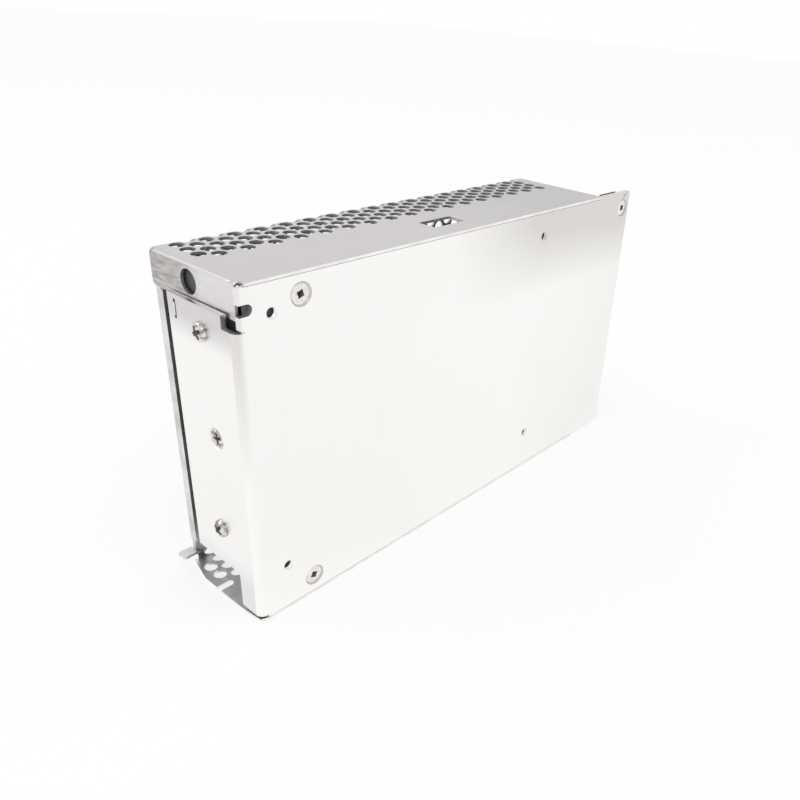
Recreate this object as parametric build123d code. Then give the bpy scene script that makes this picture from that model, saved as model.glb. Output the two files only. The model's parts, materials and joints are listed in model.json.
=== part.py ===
from build123d import *
import math
import os

# An enclosed switching power supply in a folded case, standing on one long side.
# A flat aluminium chassis carries the circuit board, and a perforated steel cover closes the other faces.
# +X runs along the case towards the terminals, -Y is the side of the flat base plate, and +Z is up.
# The origin is the centre of the case's footprint. Every size is in millimetres.

# How far a cutting shape passes the surfaces that it cuts.
overcut = 1.0

# Overall sizes of the case.
case_height = 98.0
case_depth = 38.0
chassis_length = 172.0

# The chassis: base plate and end wall, folded from one aluminium sheet.
chassis_sheet = 1.5
chassis_bend = 2.2
end_wall_depth = 28.0
end_wall_drop = 8.4
end_wall_foot = 1.8
plate_corner_top = 1.2
plate_corner_bottom = 2.6
ear_height = 10.1
ear_setback = 1.4
ear_slit = 0.7
ear_slit_length = 2.6
ear_notch_width = 2.9
ear_notch_drop = 5.5
ear_notch_depth = 5.0
wall_relief_depth = 5.5
foot_opening_front = 8.5
foot_opening_height = 13.0
wall_slit_width = 0.9
wall_slit_drop = 1.2
wall_slit_length = 5.1
wall_slit_from_rear = 2.6

# Tapped mounting holes in the base plate, measured from the end wall and from the ground.
mount_hole_diameter = 3.2
mount_hole_first = 10.2
mount_hole_span = 108.6
mount_hole_low = 14.85
mount_hole_drop = 8.65

# The cover: top, rear and bottom walls with an end flange and a rear lip, folded from one steel sheet.
cover_sheet = 0.8
cover_bend = 1.4
cover_open_length = 19.5
cover_inset = 2.2
cover_gap = 0.1
flange_height = 9.5
flange_front = 2.5
flange_hole_diameter = 6.4
flange_hole_depth = 20.5
flange_hole_drop = 4.6
lip_width = 5.0
lip_foot = 9.0
corner_slit = 0.8
corner_relief = 1.6
floor_reach = 0.4
floor_slant_width = 2.4
floor_slant_length = 10.0
floor_slot_width = 2.2
floor_slot_reach = 3.3
floor_slot_depth = 19.9
foot_tab_out = 2.2
foot_tab_height = 4.4
foot_tab_side_gap = 0.2
foot_tab_width = 3.9
foot_tab_finger = 1.1
foot_tab_neck = 1.6
window_left = 70.9
window_length = 11.6
window_front = 6.2
window_width = 6.6

# The perforation: round holes of the real sheet, drawn with six sides.
hole_across = 4.3
hole_pitch = 4.81
field_start = 5.6
field_end = 5.0
field_front = 22.4
coarse_factor = 3
coarse_across = 12.6
rear_field_margin = 7.0
floor_field_front = 19.0
floor_field_start = 6.9

# Screws.
screw_radius = 1.5
thread_gap = 0.02
flat_seat_radius = 3.2
flat_head_radius = 2.8
flat_head_sink = 0.3
pan_head_radius = 3.0
pan_head_height = 2.1
pan_head_bevel = 0.8
nut_across_flats = 5.5
nut_height = 2.4
screw_past_nut = 1.0
base_screw_first = 18.9
base_screw_from_end = 4.0
base_screw_low = 6.2
base_screw_drop = 6.0

# The circuit board and what holds it off the chassis.
board_thickness = 1.6
board_left_gap = 0.3
board_right_gap = 0.8
board_edge_low = 3.0
board_edge_drop = 3.6
standoff_height = 5.0
standoff_across_flats = 5.0
standoff_neck_radius = 1.9
sheet_thickness = 0.3
sheet_hole_radius = 3.8
sheet_post_gap = 0.3
sheet_right_gap = 8.5
neck_gap = 0.05
post_radius = 2.4
post_neck_radius = 1.5
post_head_height = 1.5
post_from_block = 3.5

# The clamp that presses the power semiconductors to the end wall.
clamp_screw_depth = 12.8
clamp_screw_drop = 14.5
clamp_screw_step = 28.5
clamp_bar_width = 7.6
clamp_bar_thickness = 2.0
clamp_bar_overhang = 6.0
strip_thickness = 0.3
strip_height = 17.0
strip_lift = 0.4
strip_margin = 0.5
strip_hole_radius = 1.9
package_width = 10.0
package_body = 9.2
package_thickness = 4.6
package_tab = 1.3
package_tab_rise = 6.4
package_hole_radius = 1.8
package_lift = 1.6
package_lead_width = 0.8
package_lead_pitch = 2.54
package_from_screw = 8.6

# The terminal block at the open end.
terminal_count = 7
terminal_pitch = 9.5
terminal_wall = 1.3
terminal_depth = 17.0
terminal_height = 15.0
terminal_seat = 7.5
terminal_back = 5.0
terminal_edge_gap = 0.9
terminal_drop = 15.2
terminal_plate_thickness = 1.0
terminal_plate_gap = 0.2
terminal_plate_setback = 1.0
few_sides = 12
terminal_screw_radius = 3.1
terminal_screw_head = 2.0

# The output adjuster and the indicator, beside the terminal block.
trimmer_width = 6.6
trimmer_body_height = 5.2
trimmer_rotor_radius = 2.2
trimmer_rotor_gap = 0.05
trimmer_rotor_depth = 2.0
trimmer_rotor_rise = 0.7
trimmer_slot_width = 0.7
trimmer_slot_depth = 0.8
trimmer_from_end = 12.0
trimmer_above_block = 5.0
led_radius = 1.5
led_height = 5.0
led_from_end = 4.2
led_above_block = 3.8

# Parts on the board: sizes.
transformer_width = 35.0
transformer_rise = 26.0
transformer_core_depth = 13.0
transformer_leg = 9.0
transformer_limb = 5.0
transformer_winding_depth = 27.0
winding_corner = 4.0
winding_gap = 0.2
bulk_radius = 9.0
bulk_height = 26.0
output_cap_radius = 5.0
output_cap_height = 20.0
output_cap_pitch = 11.5
output_cap_count = 3
toroid_radius = 11.0
toroid_bore = 5.0
toroid_height = 11.0
toroid_bevel = 2.0
toroid_sides = 14
choke_width = 20.0
choke_rise = 18.0
choke_limb = 5.0
choke_depth = 7.0
choke_coil_depth = 12.0
choke_coil_width = 8.4
choke_coil_corner = 2.0
film_cap_length = 18.0
film_cap_width = 8.5
film_cap_height = 15.0
film_cap_bevel = 0.8
disc_radius = 4.5
disc_thickness = 4.0
disc_lift = 1.5
disc_lead_width = 0.7
disc_lead_spread = 3.2
thermistor_radius = 6.0
thermistor_thickness = 5.0
fuse_length = 20.0
fuse_radius = 2.6
fuse_cap_length = 5.5
fuse_cap_radius = 2.9
fuse_lift = 2.0
fuse_clip_length = 4.0
fuse_clip_wall = 0.6
fuse_clip_gap = 0.05
fuse_clip_rise = 1.2
bridge_width = 21.0
bridge_height = 17.0
bridge_thickness = 3.6
bridge_lift = 2.5
bridge_corner = 3.0
bridge_lead_pitch = 5.0
bridge_lead_width = 1.0
chip_length = 9.8
chip_width = 6.4
chip_height = 3.4
optocoupler_length = 4.8

# Parts on the board: places, from the end wall or from the plate's free end, and from the ground.
transformer_at = (46.0, 62.0)
bulk_first_at = (38.0, 20.0)
bulk_pitch = 20.0
toroid_at = (82.0, 70.0)
output_cap_at = (102.0, 74.0)
bridge_at = (80.0, 12.0)
chip_at = (78.0, 45.0)
optocoupler_at = (96.0, 50.0)
choke_from_end = 56.0
choke_height = 24.0
film_cap_from_end = 34.0
film_cap_height_at = 42.0
thermistor_from_wall = 110.0
thermistor_height = 48.0
fuse_from_end = 36.0
fuse_height = 12.0
disc_from_end = 34.0
disc_height = 26.0
disc_pitch = 6.5

# Levels and lines that the sizes above fix.
front = -case_depth / 2
rear = case_depth / 2
left = -(chassis_length - foot_tab_out) / 2
right = left + chassis_length
cover_left = left + cover_inset
cover_right = right - cover_open_length
cover_length = cover_right - cover_left
plate_bottom = cover_sheet + cover_gap
plate_top = case_height - cover_sheet - cover_gap
end_wall_top = case_height - end_wall_drop
ear_bottom = plate_top - ear_height
board_top = case_height - board_edge_drop
board_back = front + chassis_sheet + standoff_height
board_face = board_back + board_thickness
wall_inside = left + chassis_sheet
column_pitch = hole_pitch * math.sqrt(3) / 2
board_left = cover_left + cover_sheet + board_left_gap
BASE = (Align.CENTER, Align.CENTER, Align.MIN)
LOW = (Align.MIN, Align.MIN, Align.MIN)


def block(x, y, z):
    """A box between pairs of low and high limits."""
    return Pos(x[0], y[0], z[0]) * Box(x[1] - x[0], y[1] - y[0], z[1] - z[0], align=LOW)


def bore(start, direction, radius, depth):
    """What a round hole removes: a cylinder that passes the sheet on both sides."""
    length = depth + 2 * overcut
    return Plane(origin=start, z_dir=direction) * Pos(0, 0, -overcut) * Cylinder(radius, length, align=BASE)


def on_board(shape, x, z):
    """Stands a shape, modelled with its foot at zero, on the board's face."""
    return Pos(x, board_face, z) * Rot(X=-90) * shape


def edges_near(shape, axis, **place):
    """The edges along an axis whose centre has the given coordinates."""
    found = shape.edges().filter_by(axis)
    for name, value in place.items():
        found = [e for e in found if abs(getattr(e.center(), name) - value) < 0.01]
    return found


def hexagons(points, across, depth):
    """One prism with six sides at each point, from half the depth below the plane to half above."""
    sketch = Sketch() + [Pos(u, v) * RegularPolygon(across / 2, 6) for u, v in points]
    return extrude(sketch, amount=depth / 2, both=True)


def staggered(length, rise, pitch, start=0.0):
    """Points of a staggered field: columns along the first axis, each second one half a pitch higher."""
    step = pitch * math.sqrt(3) / 2
    points = []
    for column in range(int((length - start) / step + 1e-6) + 1):
        offset = pitch / 2 * (1 - column % 2)
        for row in range(int((rise - offset) / pitch + 1e-6) + 1):
            points.append((start + column * step, offset + row * pitch))
    return points


def chassis():
    """Base plate and end wall, with the notched ear, the reliefs at the bend and the cut-out at the foot."""
    shell = block((left, right), (front, front + end_wall_depth), (plate_bottom, plate_top))
    shell = fillet(edges_near(shell, Axis.Z, X=left, Y=front), chassis_bend)
    hollow = block((wall_inside, right + overcut), (front + chassis_sheet, rear),
                   (-overcut, case_height + overcut))
    hollow = fillet(edges_near(hollow, Axis.Z, X=wall_inside, Y=front + chassis_sheet),
                    chassis_bend - chassis_sheet)
    part = shell - hollow
    bend_line = left + chassis_bend
    behind = (front + chassis_bend, front + end_wall_depth + overcut)
    part -= block((left - overcut, bend_line), behind, (end_wall_top, case_height + overcut))
    part -= block((left - overcut, bend_line), (front - overcut, front + wall_relief_depth),
                  (ear_bottom - ear_slit, case_height + overcut))
    part += block((left + ear_setback, bend_line), (front, front + chassis_sheet), (ear_bottom, plate_top))
    part -= block((left - overcut, left + ear_slit_length), (front - overcut, front + chassis_bend),
                  (ear_bottom - ear_slit, ear_bottom))
    notch_end = left + ear_notch_depth - ear_notch_width / 2
    half = ear_notch_width / 2
    middle = plate_top - ear_notch_drop
    part -= block((left - overcut, notch_end), (front - overcut, front + chassis_bend),
                  (middle - half, middle + half))
    part -= bore((notch_end, front, middle), (0, 1, 0), half, chassis_sheet)
    part -= block((left - overcut, wall_inside + overcut), (front - overcut, rear), (0, end_wall_foot))
    part -= block((left - overcut, wall_inside + overcut), (front + foot_opening_front, rear),
                  (0, foot_opening_height))
    slit_rear = front + end_wall_depth - wall_slit_from_rear
    part -= block((left - overcut, wall_inside + overcut), (slit_rear - wall_slit_width, slit_rear),
                  (end_wall_top - wall_slit_drop - wall_slit_length, end_wall_top - wall_slit_drop))
    part = fillet(edges_near(part, Axis.Y, X=right, Z=plate_top), plate_corner_top)
    part = fillet(edges_near(part, Axis.Y, X=right, Z=plate_bottom), plate_corner_bottom)
    for x, z in mount_holes():
        part -= bore((x, front, z), (0, 1, 0), mount_hole_diameter / 2, chassis_sheet)
    for x, z in base_screw_places():
        part -= flat_screw_seat((x, front, z), (0, 1, 0), chassis_sheet)
    for z in clamp_screw_heights():
        start = (left, front + clamp_screw_depth, z)
        if z == centre_screw_height():
            part -= flat_screw_seat(start, (1, 0, 0), chassis_sheet)
        else:
            part -= bore(start, (1, 0, 0), screw_radius + cover_gap, chassis_sheet)
    return part


def mount_holes():
    """Centres of the four tapped holes of the base plate."""
    first = left + mount_hole_first
    return [(x, z) for x in (first, first + mount_hole_span)
            for z in (mount_hole_low, case_height - mount_hole_drop)]


def base_screw_places():
    """Centres of the three countersunk screws of the base plate."""
    first, last, high = left + base_screw_first, right - base_screw_from_end, case_height - base_screw_drop
    return [(first, base_screw_low), (first, high), (last, high)]


def clamp_screw_heights():
    """Heights of the three screws of the end wall."""
    return [case_height - clamp_screw_drop - i * clamp_screw_step for i in (2, 1, 0)]


def centre_screw_height():
    """Height of the middle screw of the end wall."""
    return clamp_screw_heights()[1]


def flat_screw_seat(start, direction, depth):
    """The countersunk hole for a flat-head screw, wider than the head, as deep as the sheet."""
    cone = Cone(flat_seat_radius, screw_radius + cover_gap, depth, align=BASE)
    return Plane(origin=start, z_dir=direction) * cone


def flat_screw(start, direction, length):
    """A countersunk screw whose head is sunk a little below the start."""
    height = chassis_sheet - flat_head_sink
    head = Cone(flat_head_radius, screw_radius, height, align=BASE)
    shank = Cylinder(screw_radius, length - flat_head_sink, align=BASE)
    return Plane(origin=start, z_dir=direction) * Pos(0, 0, flat_head_sink) * (head + shank)


def pan_screw(start, direction, length):
    """A pan-head screw whose head stands back from the start."""
    rim = pan_head_height - pan_head_bevel
    head = Cylinder(pan_head_radius, rim, align=BASE)
    head += Pos(0, 0, rim) * Cone(pan_head_radius, pan_head_radius - pan_head_bevel, pan_head_bevel,
                                  align=BASE)
    shank = Rot(X=180) * Cylinder(screw_radius, length, align=BASE)
    return Plane(origin=start, z_dir=direction) * Rot(X=180) * (head + shank)


def perforated_cover():
    """Three walls of perforated sheet with an end flange, a rear lip and a slotted tab of the floor."""
    shell = block((cover_left, cover_right), (front, rear), (0, case_height))
    corners = edges_near(shell, Axis.Y, X=cover_left, Z=case_height)
    corners += edges_near(shell, Axis.Z, X=cover_left, Y=rear)
    corners += edges_near(shell, Axis.X, Y=rear)
    shell = fillet(corners, cover_bend)
    inner_left = cover_left + cover_sheet
    inner_rear = rear - cover_sheet
    inner_top = case_height - cover_sheet
    hollow = block((inner_left, cover_right + overcut), (front - overcut, inner_rear),
                   (cover_sheet, inner_top))
    corners = edges_near(hollow, Axis.Y, X=inner_left, Z=inner_top)
    corners += edges_near(hollow, Axis.Z, X=inner_left, Y=inner_rear)
    corners += edges_near(hollow, Axis.X, Y=inner_rear)
    part = shell - fillet(corners, cover_bend - cover_sheet)
    end = (cover_left - overcut, cover_left + cover_bend)
    flange_foot = case_height - flange_height
    part -= block(end, (front - overcut, rear - lip_width), (cover_sheet, flange_foot))
    part -= block(end, (front - overcut, rear + overcut), (cover_sheet, lip_foot))
    part -= block(end, (rear - lip_width - overcut, rear + overcut), (flange_foot - corner_slit, flange_foot))
    part -= block(end, (rear - corner_relief, rear + overcut),
                  (flange_foot - corner_slit, case_height + overcut))
    part -= block(end, (front - overcut, front + flange_front), (flange_foot, case_height + overcut))
    part = part + floor_end() - floor_slot() + foot_tab()
    part -= block((cover_left + window_left, cover_left + window_left + window_length),
                  (front + window_front, front + window_front + window_width),
                  (case_height - 2 * cover_sheet, case_height + overcut))
    part -= bore((cover_left, front + flange_hole_depth, case_height - flange_hole_drop), (1, 0, 0),
                 flange_hole_diameter / 2, cover_sheet)
    return part - [top_holes(), rear_holes(), floor_holes()]


def floor_end():
    """The end of the bottom wall that reaches out below the foot opening, slanted towards the rear."""
    edge, start, depth = left - floor_reach, front + foot_opening_front, rear - cover_bend
    inner = cover_left + cover_bend
    outline = Polyline((edge, start), (inner, start), (inner, depth), (edge + floor_slant_width, depth),
                       (edge, depth - floor_slant_length), (edge, start))
    return extrude(make_face(outline), amount=cover_sheet)


def floor_slot():
    """The open slot in the end of the bottom wall."""
    slot_end = left + floor_slot_reach
    half = floor_slot_width / 2
    middle = front + floor_slot_depth
    slot = block((left - floor_reach - overcut, slot_end), (middle - half, middle + half),
                 (-overcut, cover_sheet + overcut))
    return slot + bore((slot_end, middle, 0), (0, 0, 1), half, cover_sheet)


def foot_tab():
    """The tab that the lip's lower end is bent out to, with the finger beside its neck."""
    level = (foot_tab_height, foot_tab_height + cover_sheet)
    back = rear - foot_tab_side_gap
    fore = back - foot_tab_width
    tab = block((left - foot_tab_out, cover_left), (fore, back), level)
    tab += block((cover_left, cover_left + foot_tab_finger), (fore, fore + foot_tab_finger), level)
    neck_back = rear - cover_bend
    return tab + block((cover_left, cover_left + cover_sheet), (neck_back - foot_tab_neck, neck_back),
                       (foot_tab_height, lip_foot))


def top_holes():
    """The true staggered field of the top wall."""
    rise = case_depth - cover_bend - hole_across / 2 - field_front
    points = staggered(cover_length - field_end, rise, hole_pitch, field_start)
    field = hexagons(points, hole_across, 4 * cover_sheet)
    return Pos(cover_left, front + field_front, case_height) * field


def coarse_field(rise, start):
    """A staggered field of larger and fewer holes over the cover's length."""
    return staggered(cover_length - field_end, rise, coarse_factor * hole_pitch, start)


def rear_holes():
    """The rear wall's field, coarser than the real one to keep the solid light."""
    rise = case_height - 2 * rear_field_margin
    field = hexagons(coarse_field(rise, field_start + column_pitch), coarse_across, 4 * cover_sheet)
    return Pos(cover_left, rear, rear_field_margin) * Rot(X=90) * field


def floor_holes():
    """The bottom wall's field, as coarse as the rear one."""
    rise = case_depth - cover_bend - coarse_across / 2 - floor_field_front
    return Pos(cover_left, front + floor_field_front, 0) * hexagons(
        coarse_field(rise, floor_field_start), coarse_across, 4 * cover_sheet)


def circuit_board():
    """The board, drilled for its screws and for the nylon post."""
    board = block((board_left, right - board_right_gap), (board_back, board_face),
                  (board_edge_low, board_top))
    for x, z in base_screw_places():
        board -= bore((x, board_back, z), (0, 1, 0), standoff_neck_radius + neck_gap, board_thickness)
    x, z = post_place()
    return board - bore((x, board_back, z), (0, 1, 0), post_neck_radius + neck_gap, board_thickness)


def post_place():
    """Centre of the nylon post, behind the terminal block at the corner that has no screw."""
    return right - terminal_edge_gap - terminal_depth - post_from_block, base_screw_low


def insulating_sheet():
    """The film that lies on the base plate under the board."""
    inside = front + chassis_sheet
    film = block((board_left, right - sheet_right_gap),
                 (inside, inside + sheet_thickness), (board_edge_low, board_top))
    for x, z in base_screw_places():
        film -= bore((x, inside, z), (0, 1, 0), sheet_hole_radius, sheet_thickness)
    x, z = post_place()
    return film - bore((x, inside, z), (0, 1, 0), post_radius + sheet_post_gap, sheet_thickness)


def board_standoffs():
    """Hexagonal spacers whose necks are pressed through the board, threaded for the base screws."""
    hexagon = RegularPolygon(standoff_across_flats / 2, 6, major_radius=False)
    spacer = extrude(hexagon, amount=standoff_height)
    spacer += Cylinder(standoff_neck_radius, standoff_height + board_thickness, align=BASE)
    spacer -= Cylinder(screw_radius + thread_gap, standoff_height, align=BASE)
    return [Pos(x, front + chassis_sheet, z) * Rot(X=-90) * spacer for x, z in base_screw_places()]


def support_post():
    """The nylon post that stands on the base plate and snaps into the board."""
    post = Cylinder(post_radius, standoff_height, align=BASE)
    post += Cylinder(post_neck_radius, standoff_height + board_thickness + post_head_height, align=BASE)
    x, z = post_place()
    return Pos(x, front + chassis_sheet, z) * Rot(X=-90) * post


def base_screws():
    """Countersunk screws through the base plate into the spacers."""
    length = chassis_sheet + standoff_height / 2
    return [flat_screw((x, front, z), (0, 1, 0), length) for x, z in base_screw_places()]


def clamp_length():
    """How far a clamp screw reaches from the wall's outer face through the bar and its nut."""
    return clamp_face() - left + clamp_bar_thickness + nut_height + screw_past_nut


def end_wall_screws():
    """The two pan-head screws of the clamp."""
    low, high = clamp_screw_heights()[0], clamp_screw_heights()[2]
    return [pan_screw((left, front + clamp_screw_depth, z), (1, 0, 0), clamp_length()) for z in (low, high)]


def centre_screw():
    """The flush screw in the middle of the clamp."""
    return flat_screw((left, front + clamp_screw_depth, centre_screw_height()), (1, 0, 0), clamp_length())


def clamp_face():
    """Where the bar touches the packages."""
    return wall_inside + strip_thickness + package_thickness


def clamp_bar():
    """The steel bar that the three screws draw towards the end wall."""
    heights = clamp_screw_heights()
    middle = front + clamp_screw_depth
    bar = block((clamp_face(), clamp_face() + clamp_bar_thickness),
                (middle - clamp_bar_width / 2, middle + clamp_bar_width / 2),
                (heights[0] - clamp_bar_overhang, heights[2] + clamp_bar_overhang))
    for z in heights:
        bar -= bore((clamp_face(), middle, z), (1, 0, 0), screw_radius + cover_gap, clamp_bar_thickness)
    return bar


def clamp_nuts():
    """Hexagonal nuts on the clamp screws."""
    hexagon = RegularPolygon(nut_across_flats / 2, 6, major_radius=False)
    nut = extrude(hexagon, amount=nut_height) - Cylinder(screw_radius + thread_gap, nut_height, align=BASE)
    start = clamp_face() + clamp_bar_thickness
    return [Pos(start, front + clamp_screw_depth, z) * Rot(Y=90) * nut for z in clamp_screw_heights()]


def package_heights():
    """Heights of the four power packages, one on each side of the gaps between the screws."""
    low, middle, high = clamp_screw_heights()
    return [low + package_from_screw, middle - package_from_screw,
            middle + package_from_screw, high - package_from_screw]


def thermal_strip():
    """The insulating strip between the packages and the end wall."""
    heights = package_heights()
    half = package_width / 2 + strip_margin
    strip = block((wall_inside, wall_inside + strip_thickness),
                  (board_face + strip_lift, board_face + strip_lift + strip_height),
                  (heights[0] - half, heights[3] + half))
    return strip - bore((wall_inside, front + clamp_screw_depth, centre_screw_height()), (1, 0, 0),
                        strip_hole_radius, strip_thickness)


def power_package(height):
    """A moulded power semiconductor with a drilled tab and three leads."""
    x = wall_inside + strip_thickness
    foot = board_face + package_lift
    half = package_width / 2
    head = foot + package_body
    body = block((x, x + package_thickness), (foot, head), (height - half, height + half))
    tab = block((x, x + package_tab), (head, head + package_tab_rise), (height - half, height + half))
    hole = bore((x, head + package_tab_rise / 2, height), (1, 0, 0), package_hole_radius, package_tab)
    part = body + (tab - hole)
    for i in (-1, 0, 1):
        z = height + i * package_lead_pitch
        side = package_lead_width / 2
        middle = x + package_thickness / 2
        part += block((middle - side, middle + side), (board_face, foot), (z - side, z + side))
    return part


def terminal_span():
    """Low and high ends of the terminal block."""
    high = case_height - terminal_drop
    return high - terminal_count * terminal_pitch - terminal_wall, high


def terminal_block():
    """A comb of barriers on a stepped base, open towards the free end and the rear."""
    x_right = right - terminal_edge_gap
    x_left = x_right - terminal_depth
    low, high = terminal_span()
    part = block((x_left, x_right), (board_face, board_face + terminal_seat), (low, high))
    part += block((x_left, x_left + terminal_back), (board_face, board_face + terminal_height), (low, high))
    for i in range(terminal_count + 1):
        z = low + i * terminal_pitch
        part += block((x_left, x_right), (board_face, board_face + terminal_height), (z, z + terminal_wall))
    return part


def terminal_centres():
    """Middle height of each terminal."""
    low = terminal_span()[0] + terminal_wall / 2
    return [low + (i + 0.5) * terminal_pitch for i in range(terminal_count)]


def terminal_plates():
    """One nickel-plated contact plate in each compartment."""
    x_right = right - terminal_edge_gap - terminal_plate_setback
    x_left = right - terminal_edge_gap - terminal_depth + terminal_back + terminal_plate_gap
    seat = board_face + terminal_seat
    half = (terminal_pitch - terminal_wall) / 2 - terminal_plate_gap
    return [block((x_left, x_right), (seat, seat + terminal_plate_thickness), (z - half, z + half))
            for z in terminal_centres()]


def terminal_screws():
    """One screw on each contact plate, its round head drawn with few sides."""
    x = right - terminal_edge_gap - (terminal_depth - terminal_back) / 2
    seat = board_face + terminal_seat + terminal_plate_thickness
    head = extrude(RegularPolygon(terminal_screw_radius, few_sides), amount=terminal_screw_head)
    return [Pos(x, seat, z) * Rot(X=-90) * head for z in terminal_centres()]


def trimmer_place():
    """Axis of the output adjuster."""
    return right - trimmer_from_end, terminal_span()[1] + trimmer_above_block


def trimmer_body():
    """The square housing with a round well for the rotor."""
    body = Box(trimmer_width, trimmer_width, trimmer_body_height, align=BASE)
    well = Pos(0, 0, trimmer_body_height - trimmer_rotor_depth) * Cylinder(
        trimmer_rotor_radius + trimmer_rotor_gap, trimmer_rotor_depth, align=BASE)
    return on_board(body - well, *trimmer_place())


def trimmer_rotor():
    """The slotted disc that sets the output voltage."""
    foot = trimmer_body_height - trimmer_rotor_depth + trimmer_rotor_gap
    height = trimmer_rotor_depth + trimmer_rotor_rise - trimmer_rotor_gap
    disc = Cylinder(trimmer_rotor_radius, height, align=BASE)
    disc -= Pos(0, 0, height - trimmer_slot_depth) * Box(
        2 * trimmer_rotor_radius + overcut, trimmer_slot_width, trimmer_slot_depth + overcut, align=BASE)
    return on_board(Pos(0, 0, foot) * disc, *trimmer_place())


def indicator_led():
    """The round indicator above the terminal block."""
    lamp = Cylinder(led_radius, led_height, align=BASE)
    return on_board(lamp, right - led_from_end, terminal_span()[1] + led_above_block)


def transformer_core():
    """Two E cores face to face: an upright frame with a middle leg."""
    window = (transformer_width - transformer_leg) / 2 - transformer_limb
    rise = transformer_rise - 2 * transformer_limb
    core = Box(transformer_width, transformer_core_depth, transformer_rise, align=BASE)
    through = Box(window, transformer_core_depth + 2 * overcut, rise, align=BASE)
    for side in (-1, 1):
        core -= Pos(side * (transformer_leg + window) / 2, 0, transformer_limb) * through
    return on_board(core, left + transformer_at[0], transformer_at[1])


def transformer_winding():
    """The taped winding round the middle leg, with bevelled corners."""
    inside = transformer_width - 2 * transformer_limb - 2 * winding_gap
    rise = transformer_rise - 2 * transformer_limb - 2 * winding_gap
    coil = Box(inside, transformer_winding_depth, rise, align=BASE)
    coil = chamfer(coil.edges().filter_by(Axis.Z), winding_corner)
    coil -= Box(transformer_leg + 2 * winding_gap, transformer_core_depth + 2 * winding_gap,
                rise + 2 * overcut, align=BASE)
    return on_board(Pos(0, 0, transformer_limb + winding_gap) * coil,
                    left + transformer_at[0], transformer_at[1])


def bulk_capacitor(index):
    """One of the two input reservoir capacitors."""
    return on_board(Cylinder(bulk_radius, bulk_height, align=BASE),
                    left + bulk_first_at[0] + index * bulk_pitch, bulk_first_at[1])


def output_capacitor(index):
    """One of the row of output capacitors."""
    return on_board(Cylinder(output_cap_radius, output_cap_height, align=BASE),
                    left + output_cap_at[0] + index * output_cap_pitch, output_cap_at[1])


def output_choke():
    """The wound toroid of the output filter, lying on the board, one side to each pair of turns."""
    ring = RegularPolygon(toroid_radius, toroid_sides) - RegularPolygon(toroid_bore, toroid_sides)
    ring = extrude(ring, amount=toroid_height)
    ring = chamfer(ring.faces().sort_by(Axis.Z)[-1].edges(), toroid_bevel)
    return on_board(ring, left + toroid_at[0], toroid_at[1])


def filter_choke_core():
    """The closed rectangular core of the input filter choke."""
    core = Box(choke_width, choke_depth, choke_rise, align=BASE)
    through = Box(choke_width - 2 * choke_limb, choke_depth + 2 * overcut, choke_rise - 2 * choke_limb,
                  align=BASE)
    core -= Pos(0, 0, choke_limb) * through
    return on_board(core, right - choke_from_end, choke_height)


def filter_choke_coils():
    """The two windings on the upright limbs of the choke."""
    rise = choke_rise - 2 * choke_limb - 2 * winding_gap
    coil = Box(choke_coil_width, choke_coil_depth, rise, align=BASE)
    coil = chamfer(coil.edges().filter_by(Axis.Z), choke_coil_corner)
    coil -= Box(choke_limb + 2 * winding_gap, choke_depth + 2 * winding_gap, rise, align=BASE)
    offset = (choke_width - choke_limb) / 2
    lift = choke_limb + winding_gap
    return [on_board(Pos(side * offset, 0, lift) * coil, right - choke_from_end, choke_height)
            for side in (-1, 1)]


def film_capacitor():
    """The boxed capacitor across the mains input."""
    box = Box(film_cap_width, film_cap_length, film_cap_height, align=BASE)
    box = chamfer(box.faces().sort_by(Axis.Z)[-1].edges(), film_cap_bevel)
    return on_board(box, right - film_cap_from_end, film_cap_height_at)


def disc_part(radius, thickness):
    """An upright disc on two leads."""
    disc = Pos(-thickness / 2, 0, disc_lift + radius) * Rot(Y=90) * Cylinder(radius, thickness, align=BASE)
    for side in (-1, 1):
        disc += Pos(0, side * disc_lead_spread / 2, 0) * Box(
            disc_lead_width, disc_lead_width, disc_lift + radius, align=BASE)
    return disc


def safety_capacitors():
    """Two disc capacitors from the mains lines to the case."""
    return [on_board(disc_part(disc_radius, disc_thickness), right - disc_from_end + i * disc_pitch,
                     disc_height) for i in (0, 1)]


def thermistor():
    """The disc that limits the inrush current."""
    return on_board(disc_part(thermistor_radius, thermistor_thickness), left + thermistor_from_wall,
                    thermistor_height)


def fuse():
    """A glass tube with two metal caps, lying in its clips."""
    tube = Cylinder(fuse_radius, fuse_length)
    for side in (-1, 1):
        tube += Pos(0, 0, side * (fuse_length - fuse_cap_length) / 2) * Cylinder(
            fuse_cap_radius, fuse_cap_length)
    return on_board(Pos(0, 0, fuse_lift + fuse_cap_radius) * Rot(Y=90) * tube,
                    right - fuse_from_end, fuse_height)


def fuse_clips():
    """Two spring clips that hold the fuse off the board."""
    inner = fuse_cap_radius + fuse_clip_gap
    outer = inner + fuse_clip_wall
    axis = fuse_lift + fuse_cap_radius
    clip = Box(fuse_clip_length, 2 * outer, axis + fuse_clip_rise, align=BASE)
    clip -= Pos(0, 0, axis) * Rot(Y=90) * Cylinder(inner, fuse_clip_length + 2 * overcut)
    clip -= Pos(0, 0, axis) * Box(fuse_clip_length + 2 * overcut, 2 * inner, fuse_cap_radius, align=BASE)
    offset = (fuse_length - fuse_cap_length) / 2
    return [on_board(Pos(side * offset, 0, 0) * clip, right - fuse_from_end, fuse_height)
            for side in (-1, 1)]


def bridge_rectifier():
    """A flat upright rectifier on four leads."""
    body = Pos(0, 0, bridge_lift) * Box(bridge_width, bridge_thickness, bridge_height, align=BASE)
    body = chamfer(body.faces().sort_by(Axis.Z)[-1].edges().filter_by(Axis.Y)[0], bridge_corner)
    for i in range(4):
        body += Pos((i - 1.5) * bridge_lead_pitch, 0, 0) * Box(
            bridge_lead_width, package_lead_width, bridge_lift, align=BASE)
    return on_board(body, left + bridge_at[0], bridge_at[1])


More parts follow.
